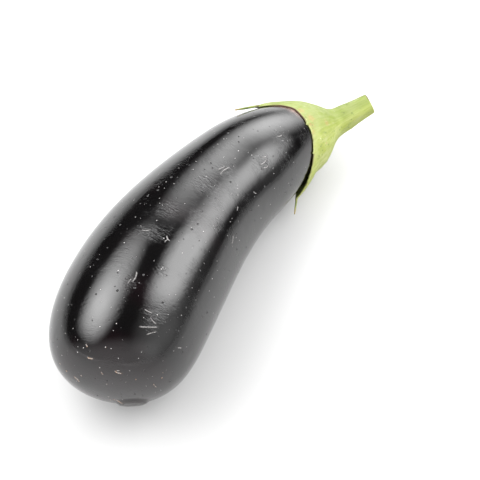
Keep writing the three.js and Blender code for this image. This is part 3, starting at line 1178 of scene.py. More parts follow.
class Nodes:
    """A short way to add and link the nodes of one tree."""

    def __init__(self, tree):
        self.tree = tree
        tree.nodes.clear()

    def add(self, kind, inputs=None, **settings):
        node = self.tree.nodes.new(kind)
        for name, value in settings.items():
            setattr(node, name, value)
        for name, value in (inputs or {}).items():
            self.feed(node.inputs[name], value)
        return node

    def feed(self, socket, value):
        if isinstance(value, bpy.types.NodeSocket):
            self.tree.links.new(value, socket)
        else:
            socket.default_value = value

    def math(self, operation, a, b=0.0):
        return self.add("ShaderNodeMath", {0: a, 1: b}, operation=operation).outputs[0]

    def times(self, a, b):
        return self.math("MULTIPLY", a, b)

    def plus(self, a, b):
        return self.math("ADD", a, b)

    def vector(self, operation, a, b=(0.0, 0.0, 0.0)):
        node = self.add("ShaderNodeVectorMath", {0: a, 1: b}, operation=operation)
        return node.outputs["Value" if operation in ("DOT_PRODUCT", "LENGTH") else "Vector"]

    def fade(self, value, low, high, to_low=0.0, to_high=1.0):
        """A smooth way from one value to another as value goes from low to high."""
        inputs = {"Value": value, "From Min": low, "From Max": high, "To Min": to_low, "To Max": to_high}
        node = self.add("ShaderNodeMapRange", inputs, interpolation_type="SMOOTHSTEP")
        return node.outputs["Result"]

    def colour(self, share, a, b):
        node = self.add("ShaderNodeMix", data_type="RGBA")
        self.feed(node.inputs[0], share)
        self.feed(node.inputs[6], a if isinstance(a, bpy.types.NodeSocket) else (*a, 1))
        self.feed(node.inputs[7], b if isinstance(b, bpy.types.NodeSocket) else (*b, 1))
        return node.outputs[2]

    def cloudy(self, place, scale, detail=2.0, roughness=0.5, distortion=0.0):
        inputs = {
            "Vector": place,
            "Scale": scale,
            "Detail": detail,
            "Roughness": roughness,
            "Distortion": distortion,
        }
        return self.add("ShaderNodeTexNoise", inputs).outputs["Fac"]

    def clouds(self, place, kind, to_low=0.0, to_high=1.0):
        """A cloudy pattern that fades from one value to another, as its kind says."""
        lumps = self.cloudy(place, kind.scale, kind.detail)
        return self.fade(lumps, kind.low, kind.high, to_low, to_high)

    def wander(self, noise, width):
        """Noise about zero, as wide as the given width."""
        return self.times(self.plus(noise, -0.5), width)

    def band(self, value, start, full, fall, end):
        """1 from full to fall, and 0 before the start and past the end."""
        return self.times(self.fade(value, start, full), self.fade(value, end, fall))

    def attribute(self, name, output="Fac"):
        return self.add("ShaderNodeAttribute", attribute_name=name).outputs[output]

    def group(self, tree, inputs):
        return self.add("ShaderNodeGroup", inputs, node_tree=tree).outputs[0]


def new_group(name, vectors, values, output):
    """A shader node group with named inputs, vectors first, and one output."""
    tree = bpy.data.node_groups.new(name, "ShaderNodeTree")
    sockets = [(each, "NodeSocketVector") for each in vectors]
    sockets += [(each, "NodeSocketFloat") for each in values]
    for socket, kind in sockets:
        tree.interface.new_socket(name=socket, in_out="INPUT", socket_type=kind)
    tree.interface.new_socket(name=output, in_out="OUTPUT", socket_type="NodeSocketFloat")
    nodes = Nodes(tree)
    return tree, nodes, nodes.add("NodeGroupInput").outputs, nodes.add("NodeGroupOutput")


# How the specks' outlines wander, the smallest speck's share of the largest, and the share at its full
SPECK_EDGE_SCALE = 1400.0
SPECK_EDGE_WANDER = 0.0005
SMALLEST_SPECK = 0.35
SPECK_CORE = 0.45


def specks_group():
    """Uneven specks of many sizes, of which only a share shows."""
    tree, nodes, given, out = new_group("Specks", ["Place"], ["Spacing", "Size", "Share"], "Mask")
    scale = nodes.math("DIVIDE", 1.0, given["Spacing"])
    wander = nodes.add("ShaderNodeTexNoise", {"Vector": given["Place"], "Scale": SPECK_EDGE_SCALE})
    bent = nodes.add("ShaderNodeVectorMath", {
        0: wander.outputs["Color"], 1: (SPECK_EDGE_WANDER,) * 3, 2: given["Place"],
    }, operation="MULTIPLY_ADD")
    cells = nodes.add("ShaderNodeTexVoronoi", {"Vector": bent.outputs[0], "Scale": scale})
    chance = nodes.add("ShaderNodeSeparateColor", {0: cells.outputs["Color"]}).outputs
    distance = nodes.times(cells.outputs["Distance"], given["Spacing"])
    size = nodes.times(given["Size"], nodes.fade(chance[0], 0.0, 1.0, SMALLEST_SPECK, 1.0))
    spot = nodes.fade(nodes.math("DIVIDE", distance, size), 1.0, SPECK_CORE)
    shown = nodes.math("LESS_THAN", chance[1], given["Share"])
    nodes.feed(out.inputs["Mask"], nodes.times(spot, shown))
    return tree


# A scratch is at its full within these shares of its width and its length, and gone at a half
SCRATCH_CORE_WIDTH = 0.2
SCRATCH_CORE_LENGTH = 0.3


def scratch_group():
    """One thin mark on the skin: a bent line with soft ends."""
    tree, nodes, given, out = new_group(
        "Scratch",
        ["Place", "Centre", "Along", "Across"],
        ["Length", "Width", "Bend", "Shake"],
        "Mask",
    )
    away = nodes.vector("SUBTRACT", given["Place"], given["Centre"])
    along = nodes.vector("DOT_PRODUCT", away, given["Along"])
    across = nodes.vector("DOT_PRODUCT", away, given["Across"])
    bend = nodes.times(given["Bend"], nodes.times(along, along))
    across = nodes.plus(nodes.plus(across, bend), given["Shake"])
    off_line = nodes.math("DIVIDE", nodes.math("ABSOLUTE", across), given["Width"])
    off_middle = nodes.math("DIVIDE", nodes.math("ABSOLUTE", along), given["Length"])
    thin = nodes.fade(off_line, 0.5, SCRATCH_CORE_WIDTH)
    line = nodes.times(thin, nodes.fade(off_middle, 0.5, SCRATCH_CORE_LENGTH))
    near = nodes.math("LESS_THAN", nodes.vector("LENGTH", away), given["Length"])
    nodes.feed(out.inputs["Mask"], nodes.times(line, near))
    return tree


def fibres_group():
    """Fine streaks along the way that a stem or leaf grew."""
    tree, nodes, given, out = new_group("Fibres", ["Growth"], ["Count", "Run"], "Value")
    scale = nodes.add("ShaderNodeCombineXYZ", {0: given["Count"], 1: given["Count"], 2: given["Run"]})
    stretched = nodes.vector("MULTIPLY", given["Growth"], scale.outputs[0])
    streaks = nodes.cloudy(stretched, 1.0, detail=3.0, roughness=0.6)
    nodes.feed(out.inputs["Value"], nodes.fade(streaks, 0.3, 0.7))
    return tree


def new_material(name):
    material = bpy.data.materials.new(name)
    material.use_nodes = True
    nodes = Nodes(material.node_tree)
    output = nodes.add("ShaderNodeOutputMaterial")
    shader = nodes.add("ShaderNodeBsdfPrincipled")
    nodes.feed(output.inputs["Surface"], shader.outputs[0])
    place = nodes.add("ShaderNodeTexCoord").outputs["Object"]
    return material, nodes, shader.inputs, place


def bumps(nodes, layers):
    """Bumps one over the other, each with its height and the metres that a height of one stands for."""
    normal = None
    for height, depth in layers:
        inputs = {"Height": height, "Distance": depth, "Strength": 1.0}
        if normal:
            inputs["Normal"] = normal
        normal = nodes.add("ShaderNodeBump", inputs).outputs[0]
    return normal


def tinted(nodes, colour, layers):
    """A colour under layers of others, each with its mask, its strength and its tint."""
    for mask, share, tint in layers:
        colour = nodes.colour(nodes.times(mask, share), colour, tint)
    return colour


class Specks(NamedTuple):
    """One kind of specks: how far apart they are, their largest radius, and how its pattern is moved."""

    spacing: float
    size: float
    shift: tuple = ()


def specks(nodes, groups, place, kind, share):
    """A mask of one kind of specks, of which the given share shows."""
    if kind.shift:
        place = nodes.vector("ADD", place, kind.shift)
    inputs = {"Place": place, "Spacing": kind.spacing, "Size": kind.size, "Share": share}
    return nodes.group(groups["specks"], inputs)


# Marks on the skin, as arc, angle, turn from the length of the fruit, length, width and bend
SCRATCHES = (
    (0.0645, 79, -2, 0.0062, 0.00075, 70),
    (0.0615, 76, 12, 0.0030, 0.00060, -80),
    (0.0446, 102, 66, 0.0099, 0.00080, 8),
    (0.0482, 103, 112, 0.0047, 0.00060, 60),
    (0.0513, 97, 90, 0.0044, 0.00060, 20),
    (0.0428, 106, 49, 0.0054, 0.00060, -25),
    (0.0899, 86, 126, 0.0032, 0.00075, 150),
    (0.0887, 86, 21, 0.0024, 0.00060, 40),
    (0.0893, 69, 67, 0.0049, 0.00060, 100),
    (0.1435, 87, 5, 0.0079, 0.00080, -50),
    (0.1435, 84, 16, 0.0050, 0.00060, 50),
    (0.1677, 104, 23, 0.0038, 0.00070, 150),
    (0.1653, 108, 0, 0.0058, 0.00070, 90),
    (0.1646, 113, 12, 0.0040, 0.00070, 120),
    (0.1846, 96, 15, 0.0037, 0.00070, 150),
    (0.1484, 123, 61, 0.0024, 0.00060, 200),
    (0.1321, 119, -26, 0.0025, 0.00060, 30),
    (0.1164, 132, -28, 0.0050, 0.00060, 60),
    (0.0452, 135, 64, 0.0027, 0.00070, 30),
)
CORKY_MARKS = (
    (0.0151, 4, 21, 0.0042, 0.00130, 90),
    (0.0181, 94, 90, 0.0042, 0.00100, 160),
    (0.0192, 91, 60, 0.0030, 0.00070, -160),
    (0.0235, 55, 101, 0.0033, 0.00100, 150),
    (0.0296, 53, 158, 0.0018, 0.00070, 20),
    (0.0157, 69, 156, 0.0020, 0.00080, 30),
    (0.0103, 228, -33, 0.0062, 0.00140, 60),
    (0.0235, 153, 83, 0.0040, 0.00060, 60),
)

# How the marks shake from side to side, how they are broken, and the steps that find their directions
SHAKE_SCALE = 1800.0
SHAKE_WIDTH = 0.0003
MARK_BREAKS = Clouds(2600.0, 0.28, 0.5)
MARK_STEP = 0.0005
MARK_TURN = 0.01


def marks_on_skin(nodes, group, place, form, marks):
    """The union of a list of marks, each laid on the skin where its row says."""
    matrix = lie_matrix(form)
    turn = np.array(matrix.to_3x3())
    shake = nodes.wander(nodes.cloudy(place, SHAKE_SCALE), SHAKE_WIDTH)
    total = 0.0
    for arc, degrees, tilt, length, width, bend in marks:
        angle = math.radians(degrees)
        centre = form.skin(arc, angle)
        tangent = unit(form.skin(arc + MARK_STEP, angle) - centre)
        sideways = unit(form.skin(arc, angle + MARK_TURN) - centre)
        cosine = math.cos(math.radians(tilt))
        sine = math.sin(math.radians(tilt))
        mask = nodes.group(group, {
            "Place": place,
            "Centre": matrix @ Vector(centre),
            "Along": turn @ (tangent * cosine + sideways * sine),
            "Across": turn @ (sideways * cosine - tangent * sine),
            "Length": length,
            "Width": width,
            "Bend": float(bend),
            "Shake": shake,
        })
        total = nodes.math("MAXIMUM", total, mask)
    return nodes.times(total, nodes.clouds(place, MARK_BREAKS))


# The specks on the skin
PORES = Specks(0.0024, 0.00032)
FLECKS = Specks(0.0012, 0.00036)
PITS = Specks(0.0027, 0.00070, (0.3, 0.1, 0.2))
CORKY_SPECKS = Specks(0.0040, 0.00060, (0.1, 0.4, 0.6))

# The shares of them that show: everywhere, on scuffed skin, and near the blossom's scar
PORES_SHARE = 0.55
PITS_SHARE = 0.30
SCUFFED_PITS_SHARE = 0.25
SCUFFED_FLECKS_SHARE = 0.10
CORKY_SPECKS_SHARE = 0.35

DULLNESS = Clouds(60.0, 0.3, 0.75, 4.0)
WRINKLE_PATCHES = Clouds(80.0, 0.40, 0.64)
CORK_TINT = Clouds(1600.0, 0.46, 0.60, 1.0)
CORK_BREAKS = Clouds(2200.0, 0.38, 0.54)

# Other noises of the skin, as lumps for each metre
MOTTLE_SCALE = 28.0
PALE_AND_REFLECTION_EDGE_SCALE = 200.0
SKIN_WAVE_SCALE = 230.0
SCAR_CORK_SCALE = 700.0
SKIN_GRAIN_SCALE = 1400.0

# The purple flush comes in between these values of the mottle, and more of it near the blossom end
MOTTLE_FADE = (0.48, 0.72)
BLOSSOM_MOTTLE = 0.2

# How many wrinkles there are for each metre along the fruit, and across it
WRINKLE_SCALE = (1500.0, 400.0, 400.0)

# Depths of the skin's fine relief, in metres
SKIN_WAVE_DEPTH = 0.00004
SKIN_GRAIN_DEPTH = 0.0000025
WRINKLE_DEPTH = 0.00020
SKIN_SPOT_DEPTH = 0.00016
SCAR_CORK_DEPTH = 0.00020

# How strong the wrinkles are in their patches, and on scuffed skin
PATCH_WRINKLES = 0.5
SCUFFED_WRINKLES = 0.7

# How much the gloss wanders, and how much duller spots and scars are
DULLNESS_RANGE = (-0.02, 0.04)
SPOT_DULLNESS = 0.45
SCAR_DULLNESS = 0.22

# Distances from the blossom's pole between which its cork and flush fade out
BLOSSOM_END = (0.050, 0.020)

PALE_AND_REFLECTION_WIDTH = 0.0042
PALE_AND_REFLECTION_EDGE_WANDER = 0.006
SKIN_IOR = 1.65


def corky_mask(nodes, place, groups, form, near_blossom):
    """Corky scars and specks, broken up by a fine cloud."""
    marks = marks_on_skin(nodes, groups["scratch"], place, form, CORKY_MARKS)
    share = nodes.times(near_blossom, CORKY_SPECKS_SHARE)
    marks = nodes.math("MAXIMUM", marks, specks(nodes, groups, place, CORKY_SPECKS, share))
    return nodes.times(marks, nodes.clouds(place, CORK_BREAKS))


def pale_and_reflection_mask(nodes, place):
    """Pale skin that creeps out from under the calyx in a broken edge, partly its own pale ring and
    partly a painted reflection of the calyx.
    """
    wander = nodes.wander(nodes.cloudy(place, PALE_AND_REFLECTION_EDGE_SCALE, detail=3.0), PALE_AND_REFLECTION_EDGE_WANDER)
    past_rim = nodes.plus(nodes.attribute("past_rim"), wander)
    return nodes.times(nodes.fade(past_rim, PALE_AND_REFLECTION_WIDTH, 0.0), nodes.attribute("pale_and_reflection"))


def wrinkles_across(nodes, place):
    """Fine wrinkles across the length of the fruit, in patches and on scuffed skin."""
    stretched = nodes.vector("MULTIPLY", nodes.attribute("grain", "Vector"), WRINKLE_SCALE)
    in_patches = nodes.times(nodes.clouds(place, WRINKLE_PATCHES), PATCH_WRINKLES)
    on_scuffed = nodes.times(nodes.attribute("scuffed"), SCUFFED_WRINKLES)
    wrinkles = nodes.cloudy(stretched, 1.0, detail=3.0, distortion=0.8)
    return nodes.wander(wrinkles, nodes.plus(in_patches, on_scuffed))


def skin_material(look, groups):
    """Glossy, nearly black skin with specks, pits, scratches, corky scars, and a pale tint beside the
    calyx that is partly a painted reflection of it.
    """
    material, nodes, shader, place = new_material("aubergine_skin")
    form = FruitForm(look)
    scuffed = nodes.attribute("scuffed")
    scar = nodes.attribute("scar")
    near_blossom = nodes.fade(nodes.attribute("from_blossom"), *BLOSSOM_END)
    pores = specks(nodes, groups, place, PORES, PORES_SHARE)
    flecks = specks(nodes, groups, place, FLECKS, nodes.times(scuffed, SCUFFED_FLECKS_SHARE))
    pits_share = nodes.plus(nodes.times(scuffed, SCUFFED_PITS_SHARE), PITS_SHARE)
    pits = specks(nodes, groups, place, PITS, pits_share)
    pale_specks = nodes.math("MAXIMUM", pores, flecks)
    scratches = marks_on_skin(nodes, groups["scratch"], place, form, SCRATCHES)
    corky = corky_mask(nodes, place, groups, form, near_blossom)
    pale_and_reflection = pale_and_reflection_mask(nodes, place)

    more = nodes.times(near_blossom, BLOSSOM_MOTTLE)
    mottle = nodes.plus(nodes.cloudy(place, MOTTLE_SCALE, detail=3.0), more)
    clean = nodes.colour(nodes.fade(mottle, *MOTTLE_FADE), look.skin_colour, look.flush_colour)
    cork_colour = nodes.colour(nodes.clouds(place, CORK_TINT), look.cork_colour, look.speck_colour)
    nodes.feed(shader["Base Color"], tinted(nodes, clean, (
        # Pale tint beside the calyx, partly a painted reflection of the calyx.
        (pale_and_reflection, 0.85, look.pale_and_reflection_colour),
        (scar, 0.9, look.scar_colour),
        (scratches, 0.9, look.scratch_colour),
        (pale_specks, 0.9, look.speck_colour),
        (corky, 0.95, cork_colour),
    )))

    raised = nodes.math("MAXIMUM", nodes.math("MAXIMUM", pale_specks, scratches), corky)
    rough = nodes.clouds(place, DULLNESS, *(look.gloss + change for change in DULLNESS_RANGE))
    rough = nodes.plus(rough, nodes.times(nodes.math("MAXIMUM", raised, pits), SPOT_DULLNESS))
    rough = nodes.plus(rough, nodes.times(nodes.math("MAXIMUM", pale_and_reflection, scar), SCAR_DULLNESS))
    nodes.feed(shader["Roughness"], rough)
    shader["IOR"].default_value = SKIN_IOR
    nodes.feed(shader["Normal"], bumps(nodes, (
        (nodes.cloudy(place, SKIN_WAVE_SCALE), SKIN_WAVE_DEPTH),
        (nodes.cloudy(place, SKIN_GRAIN_SCALE), SKIN_GRAIN_DEPTH),
        (wrinkles_across(nodes, place), WRINKLE_DEPTH),
        (nodes.math("SUBTRACT", raised, pits), SKIN_SPOT_DEPTH),
        (nodes.times(scar, nodes.cloudy(place, SCAR_CORK_SCALE, detail=3.0)), SCAR_CORK_DEPTH),
    )))
    return material


# Directions round the neck where the calyx's rim is dried reddish brown, and where painted shade darkens
# its upper side towards deep green.
# Each comes in as the cosine of the turn to it goes from one value to the other.
REDDISH_RIM_DIRECTION = (0.407, 0.914, 0.0)
REDDISH_RIM_FADE = (0.82, 0.97)
PAINTED_SHADE_DIRECTION = (0.5, 0.866, 0.0)
PAINTED_SHADE_FADE = (0.2, 0.95)

# Patches on the calyx, as angle, distance and radius, and how their edges are broken
PINKISH_PATCHES = (
    (92, 0.0290, 0.0034),
    (107, 0.0190, 0.0026),
    (75, 0.0310, 0.0028),
    (102, 0.0315, 0.0026),
    (112, 0.0325, 0.0022),
)
SPECKLED_PATCHES = (
    (122, 0.0270, 0.0045),
    (136, 0.0300, 0.0045),
    (150, 0.0340, 0.0035),
    (100, 0.0320, 0.0025),
)
PATCH_EDGE_SCALE = 900.0
PATCH_EDGE_WANDER = 2.4
PATCH_GROWTH = 1.1
PATCH_CORE = 0.3


def patches_on_calyx(nodes, place, look, patches):
    """1 in the middle of each patch, and 0 past its broken edge."""
    fruit = FruitForm(bpy.context.scene.eggplant_fruit)
    form = CalyxForm(fruit, look)
    matrix = lie_matrix(fruit)
    broken = nodes.times(nodes.cloudy(place, PATCH_EDGE_SCALE, detail=3.0), PATCH_EDGE_WANDER)
    total = 0.0
    for angle, distance, radius in patches:
        centre = form.surface(np.array([angle]), np.array([distance]), form.thickness_of_skirt)[0]
        away = nodes.vector("SUBTRACT", place, matrix @ Vector(centre))
        far = nodes.math("DIVIDE", nodes.vector("LENGTH", away), radius)
        share = nodes.plus(far, nodes.plus(broken, -PATCH_GROWTH))
        total = nodes.math("MAXIMUM", total, nodes.fade(share, 1.0, PATCH_CORE))
    return total


# The specks on the calyx, and the shares of them that show
DARK_SPECKS = Specks(0.0012, 0.00060)
TAN_SPECKS = Specks(0.0025, 0.00075, (0.2, 0.5, 0.3))
PALE_WARTS = Specks(0.0021, 0.00050, (0.6, 0.1, 0.8))
DARK_SPECKS_SHARE = 0.7
TAN_SPECKS_SHARE = 0.5
PALE_WARTS_SHARE = 0.25

FAINT_DARK_PATCHES = 0.25

TAN_PATCHES = Clouds(70.0, 0.5, 0.62)
DARK_PATCHES = Clouds(95.0, 0.46, 0.62, 1.0)
BLOOM = Clouds(110.0, 0.38, 0.66, 3.0)
RIM_PATCHES = Clouds(170.0, 0.52, 0.66)
CALYX_DULLNESS = Clouds(300.0, 0.3, 0.7, 3.0)

# Other noises of the calyx, as lumps for each metre
EDGE_SCALE = 260.0
CALYX_GRAIN_SCALE = 800.0

# The rim's mark and some noise together bring in its two colours between these values
PALE_RIM_FADE = (0.45, 1.0)
PALE_RIM_NOISE = 0.8
DRY_RIM_FADE = (0.80, 1.15)
DRY_RIM_NOISE = 0.6
RIM_PATCH_STRENGTH = 0.6

# A thread's neck, spot and tip, as shares of its length where they start, are full, fall and end
THREAD_NECK = (0.12, 0.24, 0.30, 0.42)
THREAD_SPOT = (0.55, 0.66, 0.76, 0.88)
THREAD_TIP = (0.80, 0.98)
THREAD_WANDER = 0.3

# The calyx's roughness, how much rougher it is where it is dry, and how dry its threads are
CALYX_ROUGHNESS = (0.45, 0.65)
DRY_ROUGHNESS = 0.15
THREAD_DRYNESS = 0.7
PITH_FADE = (0.35, 0.65)

# Fibres, as their count round the neck and how often they change for each metre of their run
FIBRES = {"Count": 14.0, "Run": 90.0}
FINE_FIBRES = {"Count": 45.0, "Run": 160.0}

# Depths of the calyx's fine relief, in metres
FIBRE_DEPTH = 0.00010
CALYX_GRAIN_DEPTH = 0.00006
CALYX_SPOT_DEPTH = 0.00009

CALYX_IOR = 1.42


def calyx_specks(nodes, place, look, groups):
    """Masks of the dark speckles, the tan speckles and the pale warts."""
    faint = nodes.times(nodes.clouds(place, DARK_PATCHES), FAINT_DARK_PATCHES)
    dark = nodes.math("MAXIMUM", faint, patches_on_calyx(nodes, place, look, SPECKLED_PATCHES))
    tan = nodes.clouds(place, TAN_PATCHES)
    return (
        specks(nodes, groups, place, DARK_SPECKS, nodes.times(dark, DARK_SPECKS_SHARE)),
        specks(nodes, groups, place, TAN_SPECKS, nodes.times(tan, TAN_SPECKS_SHARE)),
        specks(nodes, groups, place, PALE_WARTS, PALE_WARTS_SHARE),
    )


def rim_masks(nodes, place, growth, edge_noise):
    """Masks of the pale rim and of its dried, reddish stretches."""
    rim = nodes.attribute("rim")
    towards_blush = nodes.vector("DOT_PRODUCT", growth, REDDISH_RIM_DIRECTION)
    patches = nodes.times(nodes.clouds(place, RIM_PATCHES), RIM_PATCH_STRENGTH)
    reddish = nodes.math("MAXIMUM", nodes.fade(towards_blush, *REDDISH_RIM_FADE), patches)
    dry = nodes.fade(nodes.plus(rim, nodes.times(edge_noise, DRY_RIM_NOISE)), *DRY_RIM_FADE)
    pale = nodes.fade(nodes.plus(rim, nodes.times(edge_noise, PALE_RIM_NOISE)), *PALE_RIM_FADE)
    return pale, nodes.times(dry, reddish)


def thread_masks(nodes, edge_noise):
    """Masks of a thread's brown neck, its deep green spot and its tan tip."""
    along = nodes.plus(nodes.attribute("dry"), nodes.wander(edge_noise, THREAD_WANDER))
    neck = nodes.band(along, *THREAD_NECK)
    spot = nodes.band(along, *THREAD_SPOT)
    return neck, spot, nodes.fade(along, *THREAD_TIP)


def calyx_material(look, groups):
    """Yellow green with pale fibres, dark and tan speckles, dried rims and a cream pith."""
    material, nodes, shader, place = new_material("calyx_green")
    growth = nodes.attribute("growth", "Vector")
    edge_noise = nodes.cloudy(place, EDGE_SCALE, detail=3.0)
    fibres = nodes.group(groups["fibres"], {"Growth": growth, **FIBRES})
    fine_fibres = nodes.group(groups["fibres"], {"Growth": growth, **FINE_FIBRES})
    dark_specks, tan_specks, pale_warts = calyx_specks(nodes, place, look, groups)
    pale_rim, dry_rim = rim_masks(nodes, place, growth, edge_noise)
    neck, spot, tip = thread_masks(nodes, edge_noise)
    # Painted shade: how far each place faces the upper side of the neck, which is darkened.
    painted_shade_on_top = nodes.vector("DOT_PRODUCT", growth, PAINTED_SHADE_DIRECTION)
    pinkish = patches_on_calyx(nodes, place, look, PINKISH_PATCHES)

    bloom = nodes.clouds(place, BLOOM)
    pale = nodes.plus(nodes.times(fibres, 0.6), nodes.times(bloom, 0.4))
    green = nodes.colour(pale, look.green_colour, look.pale_colour)
    pith = nodes.colour(nodes.fade(edge_noise, *PITH_FADE), look.pith_colour, look.tan_colour)
    nodes.feed(shader["Base Color"], tinted(nodes, green, (
        (fine_fibres, 0.2, look.deep_green_and_shade_colour),
        # Painted shade: the calyx's upper side is darkened towards the deep green.
        (nodes.fade(painted_shade_on_top, *PAINTED_SHADE_FADE), 0.42, look.deep_green_and_shade_colour),
        (pinkish, 0.5, look.tan_colour),
        (dark_specks, 0.9, look.deep_green_and_shade_colour),
        (tan_specks, 0.75, look.tan_colour),
        (pale_warts, 0.5, look.wart_colour),
        (pale_rim, 0.35, look.pale_colour),
        (dry_rim, 0.9, look.dry_colour),
        (spot, 0.6, look.deep_green_and_shade_colour),
        (neck, 0.55, look.dry_colour),
        (tip, 0.7, look.tan_colour),
        (nodes.attribute("cut"), 1.0, pith),
    )))

    rough = nodes.clouds(place, CALYX_DULLNESS, *CALYX_ROUGHNESS)
    withered = nodes.times(nodes.math("MAXIMUM", neck, tip), THREAD_DRYNESS)
    rough = nodes.plus(rough, nodes.times(nodes.plus(dry_rim, withered), DRY_ROUGHNESS))
    nodes.feed(shader["Roughness"], rough)
    shader["IOR"].default_value = CALYX_IOR
    spots = nodes.math("SUBTRACT", nodes.math("MAXIMUM", pale_warts, tan_specks), dark_specks)
    nodes.feed(shader["Normal"], bumps(nodes, (
        (nodes.plus(fibres, nodes.times(fine_fibres, 0.5)), FIBRE_DEPTH),
        (nodes.cloudy(place, CALYX_GRAIN_SCALE, detail=4.0, roughness=0.6), CALYX_GRAIN_DEPTH),
        (spots, CALYX_SPOT_DEPTH),
    )))
    return material


def shared_groups():
    """The node groups that both materials use, made once."""
    makers = {"Specks": specks_group, "Scratch": scratch_group, "Fibres": fibres_group}
    known = bpy.data.node_groups
    return {name.lower(): known.get(name) or maker() for name, maker in makers.items()}


# The stage

AIM = Vector((-0.00534, -0.02124, 0.03650))
FLOOR_SIZE = 8.0
FLOOR_ROUGHNESS = 0.7
FLOOR_CLOUDS = Clouds(3.0, 0.3, 0.7)
FLOOR_CLOUD_SHADE = 0.985
SENSOR_WIDTH = 36
NEAREST_SEEN = 0.01
FARTHEST_SEEN = 30


class Softbox(NamedTuple):
    """A soft oval light, brightest in its middle, that faces the fruit. Its angles are in degrees."""

    name: str
    azimuth: float
    elevation: float
    distance: float
    roll: float
    width: float
    height: float
    core: float
    glow: float


# Azimuth runs from the fruit's stem end towards the outer side of its bow.
# The core is the evenly bright share of the light's radius, and the glow its radiance there.
SOFTBOXES = (
    Softbox("back_softbox", 116, 54, 0.50, -20, 1.17, 0.60, 0.0, 12.0),
    Softbox("front_softbox", -41, 46, 0.40, 14, 0.37, 0.49, 0.28, 9.9),
    Softbox("stem_softbox", 11, 28, 0.40, -56, 0.45, 0.56, 0.0, 10.0),
    Softbox("front_fill", -82, 27, 1.43, 17, 3.30, 2.90, 0.0, 1.6),
    Softbox("blossom_fill", -160, 6, 0.64, 17, 3.40, 1.31, 0.20, 1.3),
)


def direction(azimuth, elevation):
    """The direction at an azimuth from +X towards +Y, and an elevation over the horizon."""
    level = math.cos(elevation)
    return Vector((level * math.cos(azimuth), level * math.sin(azimuth), math.sin(elevation)))


def add_camera(look):
    camera = bpy.data.cameras.new("camera")
    camera.lens = look.camera_lens
    camera.sensor_width = SENSOR_WIDTH
    camera.clip_start = NEAREST_SEEN
    camera.clip_end = FARTHEST_SEEN
    holder = bpy.data.objects.new("camera", camera)
    bpy.context.scene.collection.objects.link(holder)
    back = direction(look.camera_azimuth - math.pi / 2, look.camera_elevation)
    holder.location = AIM + back * look.camera_distance
    holder.rotation_euler = (-back).to_track_quat("-Z", "Y").to_euler()
    bpy.context.scene.camera = holder


def add_softbox(box, level):
    light = bpy.data.lights.new(box.name, "AREA")
    light.shape = "ELLIPSE"
    light.size = box.width
    light.size_y = box.height
    area = math.pi / 4 * box.width * box.height
    light.energy = math.pi * area * box.glow * level
    light.use_nodes = True
    nodes = Nodes(light.node_tree)
    across = nodes.add("ShaderNodeNewGeometry").outputs["Parametric"]
    from_middle = nodes.add("ShaderNodeVectorMath", {
        0: across, 1: (2.0, 2.0, 0.0), 2: (-1.0, -1.0, 0.0),
    }, operation="MULTIPLY_ADD")
    radius = nodes.vector("LENGTH", from_middle.outputs[0])
    glow = nodes.add("ShaderNodeEmission", {"Strength": nodes.fade(radius, 1.0, box.core)})
    output = nodes.add("ShaderNodeOutputLight")
    nodes.feed(output.inputs["Surface"], glow.outputs[0])
    holder = bpy.data.objects.new(box.name, light)
    bpy.context.scene.collection.objects.link(holder)
    towards = direction(math.radians(box.azimuth), math.radians(box.elevation))
    holder.location = towards * box.distance
    facing = towards.to_track_quat("Z", "Y") @ Quaternion((0, 0, 1), math.radians(box.roll))
    holder.rotation_euler = facing.to_euler()


def add_floor(look):
    deselect_everything()
    bpy.ops.mesh.primitive_plane_add(size=FLOOR_SIZE)
    floor = bpy.context.object
    floor.name = "floor"
    material, nodes, shader, place = new_material("pale_floor")
    clouded = tuple(FLOOR_CLOUD_SHADE * c for c in look.floor_colour)
    colour = nodes.colour(nodes.clouds(place, FLOOR_CLOUDS), look.floor_colour, clouded)
    nodes.feed(shader["Base Color"], colour)
    shader["Roughness"].default_value = FLOOR_ROUGHNESS
    floor.data.materials.append(material)


def set_surroundings(level):
    """A pale room that lights evenly from all round. Gloss shows the softboxes and the floor alone."""
    world = bpy.data.worlds.new("surroundings")
    bpy.context.scene.world = world
    world.use_nodes = True
    nodes = Nodes(world.node_tree)
    background = nodes.add("ShaderNodeBackground", {"Color": (1, 1, 1, 1), "Strength": level})
    output = nodes.add("ShaderNodeOutputWorld")
    nodes.feed(output.inputs["Surface"], background.outputs[0])
    world.cycles_visibility.glossy = False


# Operators, one for each piece and one for the stage

def finish_piece(piece, material, node):
    piece.data.materials.clear()
    piece.data.materials.append(material)
    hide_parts(node)
    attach(piece, "root")


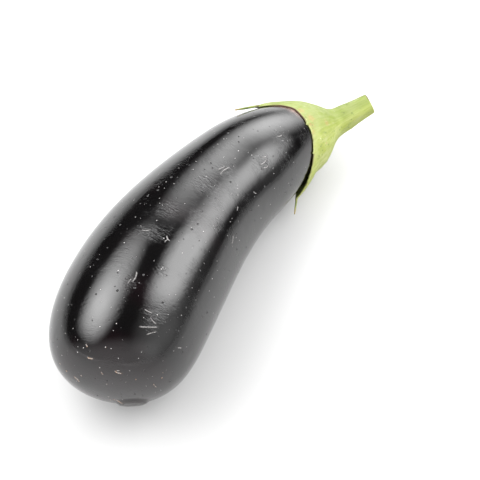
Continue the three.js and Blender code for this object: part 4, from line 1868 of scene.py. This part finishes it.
class EGGPLANT_OT_stage(bpy.types.Operator):
    """Sets up the camera, the floor, the softboxes and the surroundings"""

    bl_idname = "eggplant.stage"
    bl_label = "Stage"

    def execute(self, context):
        look = context.scene.eggplant_stage
        add_camera(look)
        add_floor(look)
        set_surroundings(look.room_level)
        for box in SOFTBOXES:
            add_softbox(box, look.softbox_level)
        context.scene.view_settings.view_transform = "Standard"
        return {"FINISHED"}


class EGGPLANT_OT_fruit(bpy.types.Operator):
    """Models the fruit and finishes its skin"""

    bl_idname = "eggplant.fruit"
    bl_label = "Fruit"

    def execute(self, context):
        look = context.scene.eggplant_fruit
        piece = model_fruit(look)
        finish_piece(piece, skin_material(look, shared_groups()), "fruit")
        return {"FINISHED"}


class EGGPLANT_OT_calyx(bpy.types.Operator):
    """Models the calyx with its stalk and dried threads, and finishes it"""

    bl_idname = "eggplant.calyx"
    bl_label = "Calyx and stalk"

    def execute(self, context):
        look = context.scene.eggplant_calyx
        piece = model_calyx(look)
        finish_piece(piece, calyx_material(look, shared_groups()), "calyx_stem")
        return {"FINISHED"}


OPERATORS = (EGGPLANT_OT_stage, EGGPLANT_OT_fruit, EGGPLANT_OT_calyx)
SETTINGS = {
    "eggplant_fruit": EggplantFruitSettings,
    "eggplant_calyx": EggplantCalyxSettings,
    "eggplant_stage": EggplantStageSettings,
}


class EGGPLANT_PT_panel(bpy.types.Panel):
    """Lists the eggplant's pieces and its settings"""

    bl_label = "Eggplant"
    bl_idname = "EGGPLANT_PT_panel"
    bl_space_type = "VIEW_3D"
    bl_region_type = "UI"
    bl_category = "Eggplant"

    def draw(self, context):
        for operator in OPERATORS:
            self.layout.operator(operator.bl_idname)
        for name, group in SETTINGS.items():
            box = self.layout.box()
            for setting in group.__annotations__:
                box.prop(getattr(context.scene, name), setting)


CLASSES = (*SETTINGS.values(), *OPERATORS, EGGPLANT_PT_panel)


def register():
    for each in CLASSES:
        bpy.utils.register_class(each)
    for name, group in SETTINGS.items():
        setattr(bpy.types.Scene, name, PointerProperty(type=group))


def unregister():
    for name in SETTINGS:
        delattr(bpy.types.Scene, name)
    for each in reversed(CLASSES):
        bpy.utils.unregister_class(each)


def main():
    register()
    bpy.ops.eggplant.stage()
    bpy.ops.eggplant.fruit()
    bpy.ops.eggplant.calyx()


if __name__ == "__main__":
    main()
